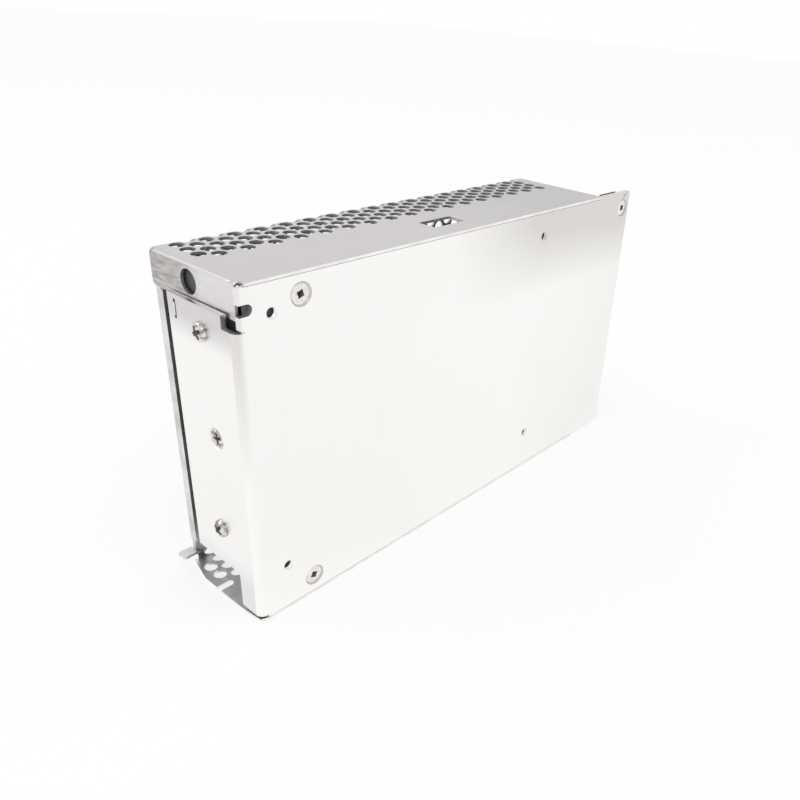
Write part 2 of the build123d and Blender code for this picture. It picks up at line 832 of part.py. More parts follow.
def control_chip():
    """The controller in its moulded package."""
    return on_board(Box(chip_length, chip_width, chip_height, align=BASE), left + chip_at[0], chip_at[1])


def optocoupler():
    """The coupler that carries the feedback over the isolation gap."""
    return on_board(Box(optocoupler_length, chip_width, chip_height, align=BASE),
                    left + optocoupler_at[0], optocoupler_at[1])


def nodes():
    """Every sub-part by its node's name."""
    made = {
        "chassis": chassis(),
        "perforated_cover": perforated_cover(),
        "insulating_sheet": insulating_sheet(),
        "circuit_board": circuit_board(),
        "board_standoffs": board_standoffs(),
        "support_post": support_post(),
        "base_screws": base_screws(),
        "end_wall_screws": end_wall_screws(),
        "centre_screw": centre_screw(),
        "clamp_bar": clamp_bar(),
        "clamp_nuts": clamp_nuts(),
        "thermal_strip": thermal_strip(),
        "terminal_block": terminal_block(),
        "terminal_plates": terminal_plates(),
        "terminal_screws": terminal_screws(),
        "trimmer_body": trimmer_body(),
        "trimmer_rotor": trimmer_rotor(),
        "indicator_led": indicator_led(),
        "transformer_core": transformer_core(),
        "transformer_winding": transformer_winding(),
        "output_choke": output_choke(),
        "filter_choke_core": filter_choke_core(),
        "filter_choke_coils": filter_choke_coils(),
        "film_capacitor": film_capacitor(),
        "safety_capacitors": safety_capacitors(),
        "thermistor": thermistor(),
        "fuse": fuse(),
        "fuse_clips": fuse_clips(),
        "bridge_rectifier": bridge_rectifier(),
        "control_chip": control_chip(),
        "optocoupler": optocoupler(),
    }
    names = ["output_rectifier_1", "output_rectifier_2", "switching_transistor_1", "switching_transistor_2"]
    for name, height in zip(names, package_heights()):
        made[name] = power_package(height)
    for i in range(2):
        made[f"bulk_capacitor_{i + 1}"] = bulk_capacitor(i)
    for i in range(output_cap_count):
        made[f"output_capacitor_{i + 1}"] = output_capacitor(i)
    return made


os.makedirs("parts", exist_ok=True)
for name, shape in nodes().items():
    solids = shape if isinstance(shape, list) else [shape]
    group = Compound(children=[s for item in solids for s in item.solids()])
    export_step(group, f"parts/{name}.step")
    print(name, len(group.solids()), round(group.volume, 1))
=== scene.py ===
# %% [markdown]
# # A mesh case power supply, dressed in Blender
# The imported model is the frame: every solid is already in its place, in metres.
# This lesson gives each piece its finish, and makes again the pieces whose charm is in small detail:
# the sheet with its hundreds of round holes, the recessed screws, the wound ring and the sleeved cans.

# %% Load the frame
import bpy
import bmesh
import json
import math
from mathutils import Matrix, Vector


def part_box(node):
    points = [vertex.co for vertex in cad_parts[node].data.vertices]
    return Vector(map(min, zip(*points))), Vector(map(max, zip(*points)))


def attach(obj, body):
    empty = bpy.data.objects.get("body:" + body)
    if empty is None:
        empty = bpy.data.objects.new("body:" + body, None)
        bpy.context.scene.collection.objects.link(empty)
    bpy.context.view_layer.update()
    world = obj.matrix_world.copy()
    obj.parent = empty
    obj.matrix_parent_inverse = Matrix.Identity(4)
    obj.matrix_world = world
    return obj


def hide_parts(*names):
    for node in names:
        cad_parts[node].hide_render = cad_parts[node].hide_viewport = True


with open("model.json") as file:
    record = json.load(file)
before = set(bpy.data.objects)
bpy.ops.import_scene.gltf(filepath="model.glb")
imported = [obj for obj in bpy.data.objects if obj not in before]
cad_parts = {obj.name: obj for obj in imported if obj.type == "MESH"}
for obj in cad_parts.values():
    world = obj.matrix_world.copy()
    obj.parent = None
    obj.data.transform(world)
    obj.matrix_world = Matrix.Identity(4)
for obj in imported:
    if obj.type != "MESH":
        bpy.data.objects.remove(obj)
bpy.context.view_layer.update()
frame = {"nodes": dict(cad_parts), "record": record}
nodes = frame["nodes"]

# %% [markdown]
# ## Millimetres, and the lines of the case
# The real case is measured in millimetres, and Blender works in metres.
# The lines that the pieces below share are read from the frame's own boxes,
# so a piece always meets what carries it.

# %% Sizes and lines
MM = 0.001


def box_mm(node):
    low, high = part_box(node)
    return [c / MM for c in low], [c / MM for c in high]


case_high = box_mm("perforated_cover")[1]
plate_low, plate_high = box_mm("chassis")
FRONT, REAR = plate_low[1], case_high[1]
LEFT, RIGHT = plate_low[0], plate_high[0]
COVER_RIGHT, TOP = case_high[0], case_high[2]
COVER_INSET = 2.2
COVER_LEFT = LEFT + COVER_INSET
COVER_SHEET = 0.8
BOARD_FACE = box_mm("circuit_board")[1][1]
print("plate", round(RIGHT - LEFT, 2), "x", round(TOP, 2), "x", round(REAR - FRONT, 2), "mm")

# %% [markdown]
# ## Colours
# A colour is written as the hex value that a picture shows. The shaders calculate with linear light,
# so one function turns the one into the other.

# %% One colour function


def colour(hex_value):
    parts = [int(hex_value[i:i + 2], 16) / 255 for i in (1, 3, 5)]
    linear = [c / 12.92 if c <= 0.04045 else ((c + 0.055) / 1.055) ** 2.4 for c in parts]
    return (*linear, 1.0)


print("middle grey:", [round(c, 3) for c in colour("#808080")])

# %% [markdown]
# ## Materials out of nodes
# One small function adds a node, sets its inputs and links them.
# A second one starts a material from the shader that all finishes share and hands back its tree.
# Patterns read Object coordinates, which are metres here, so their scale comes from real sizes.

# %% Node helper and material helpers


def add(tree, kind, inputs=(), **settings):
    """An input takes a plain value, a socket, or a node, which then gives its first output."""
    node = tree.nodes.new(kind)
    for name, value in settings.items():
        setattr(node, name, value)
    for name, value in dict(inputs).items():
        if isinstance(value, bpy.types.Node):
            value = next(s for s in value.outputs if s.enabled)
        if isinstance(value, bpy.types.NodeSocket):
            tree.links.new(value, node.inputs[name])
        else:
            node.inputs[name].default_value = value
    return node


def start(name, **sockets):
    material = bpy.data.materials.new(name)
    material.use_nodes = True
    tree = material.node_tree
    shader = tree.nodes["Principled BSDF"]
    for socket, value in sockets.items():
        shader.inputs[socket.replace("_", " ")].default_value = value
    place = add(tree, "ShaderNodeTexCoord").outputs["Object"]
    return material, tree, shader, place


def tint(tree, shader, factor, low, high, span=(0.3, 0.7)):
    ramp = add(tree, "ShaderNodeValToRGB", {"Fac": factor})
    for stop, position, hex_value in zip(ramp.color_ramp.elements, span, (low, high)):
        stop.position, stop.color = position, colour(hex_value)
    tree.links.new(ramp.outputs["Color"], shader.inputs["Base Color"])
    return ramp


def rough(tree, shader, factor, low, high):
    reach = add(tree, "ShaderNodeMapRange", {"Value": factor, "To Min": low, "To Max": high})
    tree.links.new(reach.outputs["Result"], shader.inputs["Roughness"])


def bump(tree, shader, height, depth_mm, strength):
    node = add(tree, "ShaderNodeBump",
               {"Height": height, "Strength": strength, "Distance": depth_mm * MM})
    tree.links.new(node.outputs["Normal"], shader.inputs["Normal"])


def per_mm(size_mm):
    return 1 / (size_mm * MM)


def bands_per_mm(size_mm):
    """A wave texture draws 10 / pi bands a metre at scale 1."""
    return per_mm(size_mm) * math.pi / 10


def stretched(tree, place, scale):
    return add(tree, "ShaderNodeMapping", {"Vector": place, "Scale": scale})


def noise(tree, place, size_mm, detail=3.0, output="Fac"):
    node = add(tree, "ShaderNodeTexNoise", {"Vector": place, "Scale": per_mm(size_mm), "Detail": detail})
    return node.outputs[output]


def between(tree, place, axis, low_mm, high_mm, share=1.0, **settings):
    """Rises from 0 at the first place to share at the second."""
    apart = add(tree, "ShaderNodeSeparateXYZ", {"Vector": place})
    reach = {"Value": apart.outputs[axis], "From Min": low_mm * MM, "From Max": high_mm * MM,
             "To Max": share}
    return add(tree, "ShaderNodeMapRange", reach, **settings)


def clouded(name, size_mm, low, high, first, last, detail=3.0, span=(0.3, 0.7), **sockets):
    """A finish whose colour and roughness change together, in soft clouds."""
    material, tree, shader, place = start(name, **sockets)
    clouds = noise(tree, place, size_mm, detail)
    tint(tree, shader, clouds, low, high, span)
    rough(tree, shader, clouds, first, last)
    return material


def rolled(name, stretch, line_mm, smooth, coarse, depth_mm, strength):
    """A metal sheet with the fine lines of the rolling mill."""
    material, tree, shader, place = start(name, Metallic=1.0)
    lines = noise(tree, stretched(tree, place, stretch), line_mm, 2.0)
    rough(tree, shader, lines, smooth, coarse)
    bump(tree, shader, lines, depth_mm, strength)
    return material, tree, shader, place


print("helpers ready")

# %% [markdown]
# ## Rolled aluminium
# The base plate and end wall are bright aluminium sheet as it comes from the rolling mill.
# Rolling leaves very fine lines along the sheet, which blur its mirror image, and handling leaves
# faint clouds. A real plate reflects the white room around it, so its colour is close to white.
# Painted shade makes it a little darker towards its far upper corner, along the bend towards the top, and
# towards its right end.
# The end wall's lines run across it, and painted shade makes it darker below the flange and near the foot.

# %% Aluminium sheet
aluminium, tree, shader, place = rolled("rolled aluminium", (0.03, 1.0, 1.0), 0.5, 0.28, 0.40, 0.004, 0.5)
# Painted shade: darker towards the far upper corner, along the bend towards the top, and a little towards
# the right end; the noise clouds are real handling marks.
painted_corner_shade = add(tree, "ShaderNodeMath", {0: between(tree, place, "X", -12, 34),
                                      1: between(tree, place, "Z", 70, 94)}, operation="MULTIPLY")
painted_bend_shade = add(tree, "ShaderNodeMath",
                {0: between(tree, place, "X", -82.6, -84.0), 1: between(tree, place, "Z", 44, 86, 0.8),
                 2: between(tree, place, "X", 20, 87, 0.2)}, operation="MULTIPLY_ADD")
all_painted_shade = add(tree, "ShaderNodeMath", {0: painted_corner_shade, 1: painted_bend_shade}, operation="ADD")
clouds_and_painted_shade = add(tree, "ShaderNodeMath", {0: noise(tree, place, 45.0, 2.0), 1: 0.2, 2: all_painted_shade},
           operation="MULTIPLY_ADD")
tint(tree, shader, clouds_and_painted_shade, "#FAF9F7", "#DBD8D5", (0.1, 1.0))

wall_aluminium, tree, shader, place = rolled("rolled aluminium, end wall", (1.0, 0.03, 1.0), 0.5,
                                             0.30, 0.42, 0.004, 0.5)
# Painted shade: darker just below the flange, and a little darker near the foot.
painted_shade_under_flange = between(tree, place, "Z", 77.5, 86.5, interpolation_type="SMOOTHSTEP")
shade = add(tree, "ShaderNodeMath", {0: painted_shade_under_flange, 1: between(tree, place, "Z", 18, 10, 0.4)},
            operation="MAXIMUM")
tint(tree, shader, shade, "#F6F5F3", "#D6D2D4", (0.0, 1.0))
print(aluminium.name, "and its variant for the end wall")

# %% [markdown]
# ## Zinc-plated steel
# The cover is thin steel with a zinc coat: greyer than the aluminium, with a faint violet cast,
# and painted shade makes it a little darker towards the right.
# Where the sheet was bent into the end flange, the coat was dragged by the folding tool.
# That leaves wavy streaks along the flange, so the folded flaps get their own version of the finish.
# Painted shade makes the flange darker towards the rear and lighter towards the front.
# The sheared front edge is bare steel, and its near-white shine is partly a painted highlight;
# the walls of the punched holes are torn and duller.

# %% Zinc-plated sheet
zinc, tree, shader, place = rolled("zinc-plated steel", (0.05, 1.0, 1.0), 0.35, 0.30, 0.44, 0.003, 0.4)
# The clouds are the coat's own; the darkening towards the right is painted shade.
coat_and_painted_shade = add(tree, "ShaderNodeMath", {0: noise(tree, place, 12.0, 4.0), 1: 0.4,
                                    2: between(tree, place, "X", -20, 50, 0.6)}, operation="MULTIPLY_ADD")
tint(tree, shader, coat_and_painted_shade, "#CFCBCD", "#BFBBBE", (0.1, 0.8))

dragged, tree, shader, place = start("dragged zinc", Metallic=1.0)
drift = noise(tree, place, 7.0, 2.0, "Color")
bent = add(tree, "ShaderNodeVectorMath", {0: drift, 1: (0.0, 0.0, 0.0016)}, operation="MULTIPLY")
moved = add(tree, "ShaderNodeVectorMath", {0: place, 1: bent}, operation="ADD")
streaks = noise(tree, stretched(tree, moved, (1.0, 0.12, 1.0)), 0.55, 4.0)
# Painted shade: the streaks come as a darker, shaded copy towards the rear and a lighter, lit copy towards
# the front.
shaded_streaks = tint(tree, shader, streaks, "#9D9897", "#C6C2C0", (0.34, 0.66))
painted_lit = add(tree, "ShaderNodeMix", {"Factor": streaks, "A": colour("#D3CFD0"), "B": colour("#E8E5E6")},
            data_type="RGBA")
both = add(tree, "ShaderNodeMix", {"Factor": between(tree, place, "Y", 6, -4), "A": shaded_streaks, "B": painted_lit},
           data_type="RGBA")
tree.links.new(both.outputs["Result"], shader.inputs["Base Color"])
rough(tree, shader, streaks, 0.42, 0.30)
bump(tree, shader, streaks, 0.006, 0.5)

# A lighter copy of the zinc, painted lit, for the lip, the floor's end, the foot tab and the slit tongue.
painted_lit_zinc = clouded("painted_lit zinc", 5.0, "#CBC8C9", "#E4E2E2", 0.44, 0.32, span=(0.35, 0.65), Metallic=1.0)
# Bare steel at the cut edges, made near white partly as a painted highlight.
sheared = clouded("sheared steel edge with painted highlight", 6.0, "#EBE8E4", "#FAF8F5", 0.26, 0.42, 2.0, (0.35, 0.65),
                  Metallic=1.0)

punched, tree, shader, place = start("punched steel wall", Metallic=1.0)
tear = noise(tree, stretched(tree, place, (1.0, 1.0, 0.3)), 0.4)
tint(tree, shader, tear, "#A5A2A4", "#C6C3C5")
rough(tree, shader, tear, 0.42, 0.60)
print(zinc.name, dragged.name, painted_lit_zinc.name, sheared.name, punched.name, sep=", ")

# %% [markdown]
# ## Plated screws and small steel
# The screws are nickel-plated and tumbled bright. The bar, nuts and spacers inside are dull zinc.
# The contact plates are stamped from tinned brass, which is brighter and has fine cloudy wear.

# %% Nickel, dull zinc and tinned contacts
nickel = clouded("bright nickel", 1.3, "#938F89", "#E2DFDA", 0.10, 0.22, 2.0, (0.42, 0.60), Metallic=1.0)
pale_nickel = clouded("brushed nickel", 0.8, "#DDDAD5", "#F6F4F1", 0.20, 0.34, Metallic=1.0)
# The recess finish is painted shade: a darker metal for the hollows of the cross recesses.
recess = clouded("recess painted shade", 0.5, "#4A4845", "#7D7A75", 0.4, 0.6, Metallic=0.6)
dull_zinc = clouded("dull zinc", 1.5, "#A2A4A6", "#C4C6C8", 0.38, 0.56, 4.0, Metallic=1.0)
tinned = clouded("tinned brass", 2.0, "#C9C6BC", "#E5E3DC", 0.22, 0.40, Metallic=1.0)
print(nickel.name, dull_zinc.name, tinned.name, sep=", ")

# %% [markdown]
# ## The board's laminate
# A power supply board is glass or paper laminate under a green lacquer.
# Under the lacquer the copper areas show as slightly lighter patches with straight edges,
# about seven millimetres wide, and the sawn edge shows the tan of the bare laminate.

# %% Lacquered laminate
laminate, tree, shader, place = start("lacquered laminate", Roughness=0.38)
flat = stretched(tree, place, (1.0, 0.0, 1.0))
areas = add(tree, "ShaderNodeTexVoronoi", {"Vector": flat, "Scale": per_mm(7.0), "Randomness": 0.75},
            distance="CHEBYCHEV")
gaps = add(tree, "ShaderNodeMapRange", {"Value": areas, "From Min": 0.40, "From Max": 0.44})
lacquer = add(tree, "ShaderNodeMix", {"Factor": gaps, "A": colour("#2E6A3D"), "B": colour("#1D4228")},
              data_type="RGBA")
normal = add(tree, "ShaderNodeNewGeometry").outputs["Normal"]
facing = add(tree, "ShaderNodeSeparateXYZ", {"Vector": normal})
flatness = add(tree, "ShaderNodeMath", {0: facing.outputs["Y"]}, operation="ABSOLUTE")
broad = add(tree, "ShaderNodeMath", {0: flatness, 1: 0.5}, operation="GREATER_THAN")
weave = add(tree, "ShaderNodeTexWave", {"Vector": place, "Scale": bands_per_mm(0.6), "Distortion": 1.0})
tan = add(tree, "ShaderNodeMix", {"Factor": weave.outputs["Fac"], "A": colour("#A48C5A"),
                                  "B": colour("#C2AA76")}, data_type="RGBA")
whole = add(tree, "ShaderNodeMix", {"Factor": broad, "A": tan, "B": lacquer}, data_type="RGBA")
tree.links.new(whole.outputs["Result"], shader.inputs["Base Color"])
bump(tree, shader, gaps, 0.035, 0.6)
print(laminate.name)

# %% [markdown]
# ## Plastics and pads
# Each plastic starts from its real kind: glass-filled polyester for the terminals, epoxy for the packages,
# nylon for the post, polyester film for the sheet and silicone rubber for the strip.
# Moulded parts carry the fine spark-eroded grain of their mould, a few tenths of a millimetre across.

# %% Moulded and soft materials


def moulded(name, low, high, roughness, grain_mm, depth_mm, **sockets):
    material, tree, shader, place = start(name, **sockets)
    grain = noise(tree, place, grain_mm, 4.0)
    tint(tree, shader, noise(tree, place, 8 * grain_mm, 2.0), low, high)
    rough(tree, shader, grain, roughness - 0.06, roughness + 0.08)
    bump(tree, shader, grain, depth_mm, 0.5)
    return material


epoxy = moulded("moulded epoxy", "#161618", "#232325", 0.5, 0.3, 0.01)
polyester = moulded("glass-filled polyester", "#141517", "#212225", 0.42, 0.4, 0.012)
nylon = moulded("milky nylon", "#DFDACA", "#EEEBDF", 0.45, 0.5, 0.01, Subsurface_Weight=0.15)
dark_film = moulded("smoked polyester film", "#454548", "#545457", 0.4, 1.5, 0.01)
silicone = moulded("silicone rubber", "#8F9591", "#A6ACA8", 0.62, 0.2, 0.012)
ferrite = moulded("pressed ferrite", "#2D2E30", "#434446", 0.62, 0.25, 0.02)
trimmer_blue = moulded("blue polyester", "#295A96", "#3873B8", 0.4, 0.3, 0.008)
trimmer_white = moulded("white acetal", "#E0DDD2", "#F1EFE7", 0.42, 0.3, 0.006)
yellow_box = moulded("yellow film capacitor box", "#CF9F27", "#E2B43A", 0.4, 0.4, 0.01)
blue_disc = moulded("blue dipped resin", "#25548E", "#3571B6", 0.3, 1.2, 0.03, Coat_Weight=0.4)
dark_disc = moulded("dark green dipped resin", "#1F2B23", "#2F4035", 0.34, 1.2, 0.03, Coat_Weight=0.4)
black_sleeve = moulded("black shrunk sleeve", "#17181B", "#26272C", 0.3, 2.0, 0.01)
green_sleeve = moulded("green shrunk sleeve", "#245C45", "#347A5D", 0.3, 2.0, 0.01)
print("plastics:", epoxy.name, polyester.name, nylon.name, dark_film.name)

# %% [markdown]
# ## Tape, wire, cans and glass
# The transformer is wrapped in yellow polyester tape, whose layers show as lines across the winding.
# The coils are enamelled copper, a warm brown-orange metal under a clear coat. A coil that stays one
# solid shows its turns as bands that are also raised by the bump; the dark of the bands is painted shade
# in the grooves between turns.
# The bare top of a can is pressed aluminium, and the sleeves above are satin black and green.

# %% Tape, enamelled copper, cans, glass and lamp
tape, tree, shader, place = start("yellow polyester tape", Roughness=0.28)
layers = add(tree, "ShaderNodeTexWave", {"Vector": place, "Scale": bands_per_mm(3.0), "Distortion": 0.4},
             bands_direction="Y")
tint(tree, shader, layers.outputs["Fac"], "#C99F28", "#E2BE48", (0.2, 0.8))
bump(tree, shader, layers.outputs["Fac"], 0.03, 0.4)

copper = clouded("enamelled copper", 3.0, "#9A5023", "#C8793E", 0.24, 0.36, Metallic=0.85, Coat_Weight=0.6)

wound, tree, shader, place = start("close-wound enamelled copper", Metallic=0.85, Coat_Weight=0.6)
turns = add(tree, "ShaderNodeTexWave", {"Vector": place, "Scale": bands_per_mm(0.9)}, bands_direction="Y")
# Painted shade: the bands are darkest in the grooves between turns.
tint(tree, shader, turns.outputs["Fac"], "#7A3C18", "#C8793E", (0.05, 0.6))
rough(tree, shader, noise(tree, place, 3.0), 0.24, 0.36)
bump(tree, shader, turns.outputs["Fac"], 0.3, 0.9)

can_top = clouded("pressed aluminium can", 0.6, "#C8C8C6", "#DFDFDD", 0.28, 0.42, Metallic=1.0)

glass, tree, shader, place = start("fuse glass", Base_Color=colour("#E9F0EE"), IOR=1.5,
                                   Transmission_Weight=0.9)
rough(tree, shader, noise(tree, place, 3.0, 2.0), 0.02, 0.08)

lamp_green = clouded("green tinted epoxy", 1.0, "#479B45", "#5BB457", 0.08, 0.18, 2.0,
                     Transmission_Weight=0.45, IOR=1.54)
print("tape, copper, cans, glass and lamp ready")

# %% [markdown]
# ## Dressing the carried-over solids
# Most inner pieces keep the shape that the frame gives them. Each takes its finish by the slot
# that the record names for it, so a list from slot to material dresses them all.

# %% Finishes by slot
finishes = {
    "aluminium_sheet": aluminium, "zinc_plated_sheet": zinc, "nickel_screw": nickel,
    "zinc_hardware": dull_zinc, "board_laminate": laminate, "insulating_film": dark_film, "nylon": nylon,
    "silicone_pad": silicone, "moulded_black": epoxy, "terminal_moulding": polyester,
    "plated_contact": tinned, "trimmer_blue": trimmer_blue, "trimmer_white": trimmer_white,
    "led_green": lamp_green, "ferrite": ferrite, "yellow_tape": tape, "enamelled_copper": copper,
    "black_sleeve": black_sleeve, "green_sleeve": green_sleeve, "yellow_box": yellow_box,
    "blue_disc": blue_disc, "dark_disc": dark_disc, "fuse_glass": glass,
}
slot_of = {s["node"]: s["material_slot"] for s in frame["record"]["subparts"]}
for name, obj in nodes.items():
    obj.data.materials.clear()
    obj.data.materials.append(wound if name == "filter_choke_coils" else finishes[slot_of[name]])
print("dressed", len(slot_of), "nodes with", len(finishes), "finishes")

# %% [markdown]
# ## Making a new piece
# A new piece is drawn in millimetres in a bmesh, then scaled to metres, joined to its body and given
# its materials. Curved faces are shaded smooth, and edges sharper than 35 degrees stay crisp.
# Turned profiles, boxes and rods make nearly all the shapes, each placed by one matrix.

# %% Piece helpers
SHARP = math.radians(35)
ON_BOARD = Matrix.Rotation(math.radians(-90), 4, "X")
OUT_OF_PLATE = Matrix.Rotation(math.radians(90), 4, "X")
OUT_OF_END = Matrix.Rotation(math.radians(-90), 4, "Y")
ALONG_CASE = Matrix.Rotation(math.radians(90), 4, "Y")


def mesh_of(name, bm, materials):
    """The mesh in metres of a drawing in millimetres."""
    bmesh.ops.scale(bm, verts=bm.verts, vec=(MM, MM, MM))
    mesh = bpy.data.meshes.new(name)
    bm.to_mesh(mesh)
    bm.free()
    for material in materials:
        mesh.materials.append(material)
    return mesh


def placed(name, data):
    obj = bpy.data.objects.new(name, data)
    bpy.context.scene.collection.objects.link(obj)
    return obj


def piece(name, bm, materials, stands_for=(), body="case"):
    mesh = mesh_of(name, bm, materials)
    mesh.shade_smooth()
    mesh.set_sharp_from_angle(angle=SHARP)
    obj = placed(name, mesh)
    if stands_for:
        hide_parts(*stands_for)
    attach(obj, body)
    return obj


def keep_flat(obj, closeness):
    """Walls that face along an axis are shaded flat, so no bend pulls their light askew."""
    for face in obj.data.polygons:
        if max(abs(c) for c in face.normal) > closeness:
            face.use_smooth = False


def round_edges(obj, width_mm, from_degrees):
    soft = obj.modifiers.new("rounded edges", "BEVEL")
    soft.width, soft.segments, soft.limit_method = width_mm * MM, 2, "ANGLE"
    soft.angle_limit = math.radians(from_degrees)


def around(centre, radius, angles):
    return [(centre[0] + radius * math.cos(a), centre[1] + radius * math.sin(a)) for a in angles]


def outline(bm, points, closed=True):
    verts = [bm.verts.new(p) for p in points]
    edges = [bm.edges.new(pair) for pair in zip(verts, verts[1:])]
    if closed:
        edges.append(bm.edges.new((verts[-1], verts[0])))
    return verts, edges


def paint(verts, material):
    for face in {f for v in verts for f in v.link_faces}:
        face.material_index = material


def turned(bm, profile, steps, matrix, material=0):
    """Spins a profile of (radius, height) pairs round the Z axis, then places it."""
    verts, edges = outline(bm, [(r, 0, h) for r, h in profile], closed=False)
    before = set(bm.faces)
    bmesh.ops.spin(bm, geom=verts + edges, cent=(0, 0, 0), axis=(0, 0, 1), angle=2 * math.pi,
                   steps=steps, use_merge=True)
    spun = list({v for f in bm.faces if f not in before for v in f.verts})
    bmesh.ops.remove_doubles(bm, verts=spun, dist=1e-4)
    faces = [f for f in bm.faces if f not in before]
    bmesh.ops.recalc_face_normals(bm, faces=faces)
    for face in faces:
        face.material_index = material
    bmesh.ops.transform(bm, matrix=matrix, verts=list({v for f in faces for v in f.verts}))


def block(bm, size, centre, matrix=Matrix(), material=0):
    at = matrix @ Matrix.Translation(centre) @ Matrix.Diagonal((*size, 1.0))
    paint(bmesh.ops.create_cube(bm, size=1.0, matrix=at)["verts"], material)


def rod(bm, radius, length, segments, matrix, material=0):
    made = bmesh.ops.create_cone(bm, cap_ends=True, segments=segments, radius1=radius, radius2=radius,
                                 depth=length, matrix=matrix)
    paint(made["verts"], material)


def merged_copy(node, gap):
    """The frame's mesh of a node, in millimetres, with its doubled vertices merged."""
    bm = bmesh.new()
    bm.from_mesh(nodes[node].data)
    bmesh.ops.scale(bm, verts=bm.verts, vec=(1 / MM, 1 / MM, 1 / MM))
    bmesh.ops.remove_doubles(bm, verts=bm.verts, dist=gap)
    return bm


def cut_across(bm, point, normal, gap):
    bmesh.ops.bisect_plane(bm, geom=bm.verts[:] + bm.edges[:] + bm.faces[:], dist=gap, plane_co=point,
                           plane_no=normal)


print("piece helpers ready")

# %% [markdown]
# ## The perforated cover: a flat blank
# The real cover is punched flat and then folded, so it is made the same way here. On the flat blank u runs
# along the case, and v runs from the top wall's front edge over the rear wall to the floor's front edge.
# The holes stand in staggered columns 4.17 mm apart, 4.81 mm from hole to hole.
# Each hole gets a cell with six sides, drawn as a disc of eighteen corners pushed out to the cell's sides.
# Cells that touch share their corners, so merging doubles turns them into one net.

# %% One cell, and the lattice of all holes
PITCH = 4.81
COLUMN = PITCH * math.sqrt(3) / 2
HOLE_RADIUS = 1.98
CORNERS = 18
FIELD_FROM_LEFT, FIELD_FROM_RIGHT = 5.6, 5.0
FIELD_FROM_FRONT, FIELD_FROM_END = 22.4, 22.3
BEND = 1.4
ARC = BEND * math.pi / 2
FLAT_TOP = (REAR - FRONT) - BEND
FLAT_REAR = TOP - 2 * BEND
REAR_START = FLAT_TOP + ARC
FLOOR_BEND = REAR_START + FLAT_REAR
FLOOR_START = FLOOR_BEND + ARC
BLANK = FLOOR_START + FLAT_TOP
END_BEND = COVER_LEFT + BEND


def hole_centres():
    """The floor alone has one more column at the left, next to the foot."""
    first, last = COVER_LEFT + FIELD_FROM_LEFT, COVER_RIGHT - FIELD_FROM_RIGHT
    columns = int((last - first) / COLUMN + 1e-6) + 1
    centres = []
    for column in range(-1, columns):
        row = FIELD_FROM_FRONT + (PITCH / 2 if column % 2 == 0 else 0)
        while row < BLANK - FIELD_FROM_END:
            if column >= 0 or row > FLOOR_START + 5:
                centres.append((first + column * COLUMN, row))
            row += PITCH
    return centres


def push_to_cell(vert, u, v):
    angle = math.atan2(vert.co.y - v, vert.co.x - u)
    within = (angle % (math.pi / 3)) - math.pi / 6
    reach = PITCH / 2 / math.cos(within)
    vert.co.x, vert.co.y = u + reach * math.cos(angle), v + reach * math.sin(angle)


centres = hole_centres()
sheet = bmesh.new()
for u, v in centres:
    upright = Matrix.Translation((u, v, 0)) @ Matrix.Rotation(math.pi / 2, 4, "Z")
    ring = bmesh.ops.create_circle(sheet, cap_ends=True, segments=CORNERS, radius=1.0, matrix=upright)
    for vert in ring["verts"]:
        push_to_cell(vert, u, v)
bmesh.ops.remove_doubles(sheet, verts=sheet.verts, dist=0.02)
cells = list(sheet.faces)
print("holes:", len(centres), "cells:", len(cells), "verts:", len(sheet.verts))

# %% [markdown]
# ## The blank's edge, and what lies between it and the net
# The outline runs round all the flaps: the top wall with the end flange, the rear wall with its lip,
# and the floor with its slanted corner and open slot.
# Beautify fill covers the plain margin between the outline and the net, and leaves the window and the
# flange's hole open.

# %% Outline, window and flange hole
FLANGE_SIDE, LIP_SIDE, MARGIN = 1, 2, 3
FLANGE_DEPTH, FLANGE_FRONT, FLANGE_REAR, FLANGE_ROUND = 9.5, 2.5, 36.6, 1.6
FLANGE_HOLE_DEPTH, FLANGE_HOLE_AT, FLANGE_HOLE_RADIUS = 4.6, 20.5, 3.2
LIP_WIDTH, LIP_UP, LIP_DOWN = 4.0, 87.7, 9.0
FLOOR_SLANT_WIDE, FLOOR_SLANT_LONG, FLOOR_NOSE = 2.4, 10.0, 8.5
SLOT_HALF, SLOT_REACH, SLOT_FROM_FRONT = 1.1, 3.3, 19.9
WINDOW_LEFT, WINDOW_RIGHT, WINDOW_FRONT, WINDOW_REAR = 70.8, 83.9, 7.1, 13.7
flange = END_BEND - ARC - (FLANGE_DEPTH - BEND)
lip = END_BEND - ARC - (LIP_WIDTH - BEND)
lip_top = REAR_START + (TOP - BEND - LIP_UP)
lip_foot = REAR_START + (TOP - BEND - LIP_DOWN)
floor_edge = LEFT - 0.4
slot = FLOOR_START + (REAR - BEND) - (FRONT + SLOT_FROM_FRONT)
flange_corner = around((flange + FLANGE_ROUND, FLANGE_REAR - FLANGE_ROUND), FLANGE_ROUND,
                       [math.pi - a for a in (0.0, 0.4, 0.8, 1.2, math.pi / 2)])
slot_nose = around((LEFT + SLOT_REACH, slot), SLOT_HALF, (-1.57, -1.05, -0.52, 0.0, 0.52, 1.05, 1.57))
edge = [(COVER_RIGHT, 0), (END_BEND, 0), (END_BEND, FLANGE_FRONT), (flange, FLANGE_FRONT), *flange_corner,
        (END_BEND, FLANGE_REAR), (END_BEND, lip_top), (lip, lip_top), (lip, lip_foot),
        (END_BEND, lip_foot), (END_BEND, FLOOR_START), (floor_edge + FLOOR_SLANT_WIDE, FLOOR_START),
        (floor_edge, FLOOR_START + FLOOR_SLANT_LONG), (floor_edge, slot - SLOT_HALF), *slot_nose,
        (floor_edge, slot + SLOT_HALF), (floor_edge, BLANK - FLOOR_NOSE), (LEFT + 0.3, BLANK - 0.9),
        (COVER_LEFT + 0.4, BLANK), (COVER_RIGHT, BLANK)]
rim = outline(sheet, [(u, v, 0) for u, v in edge])[1]
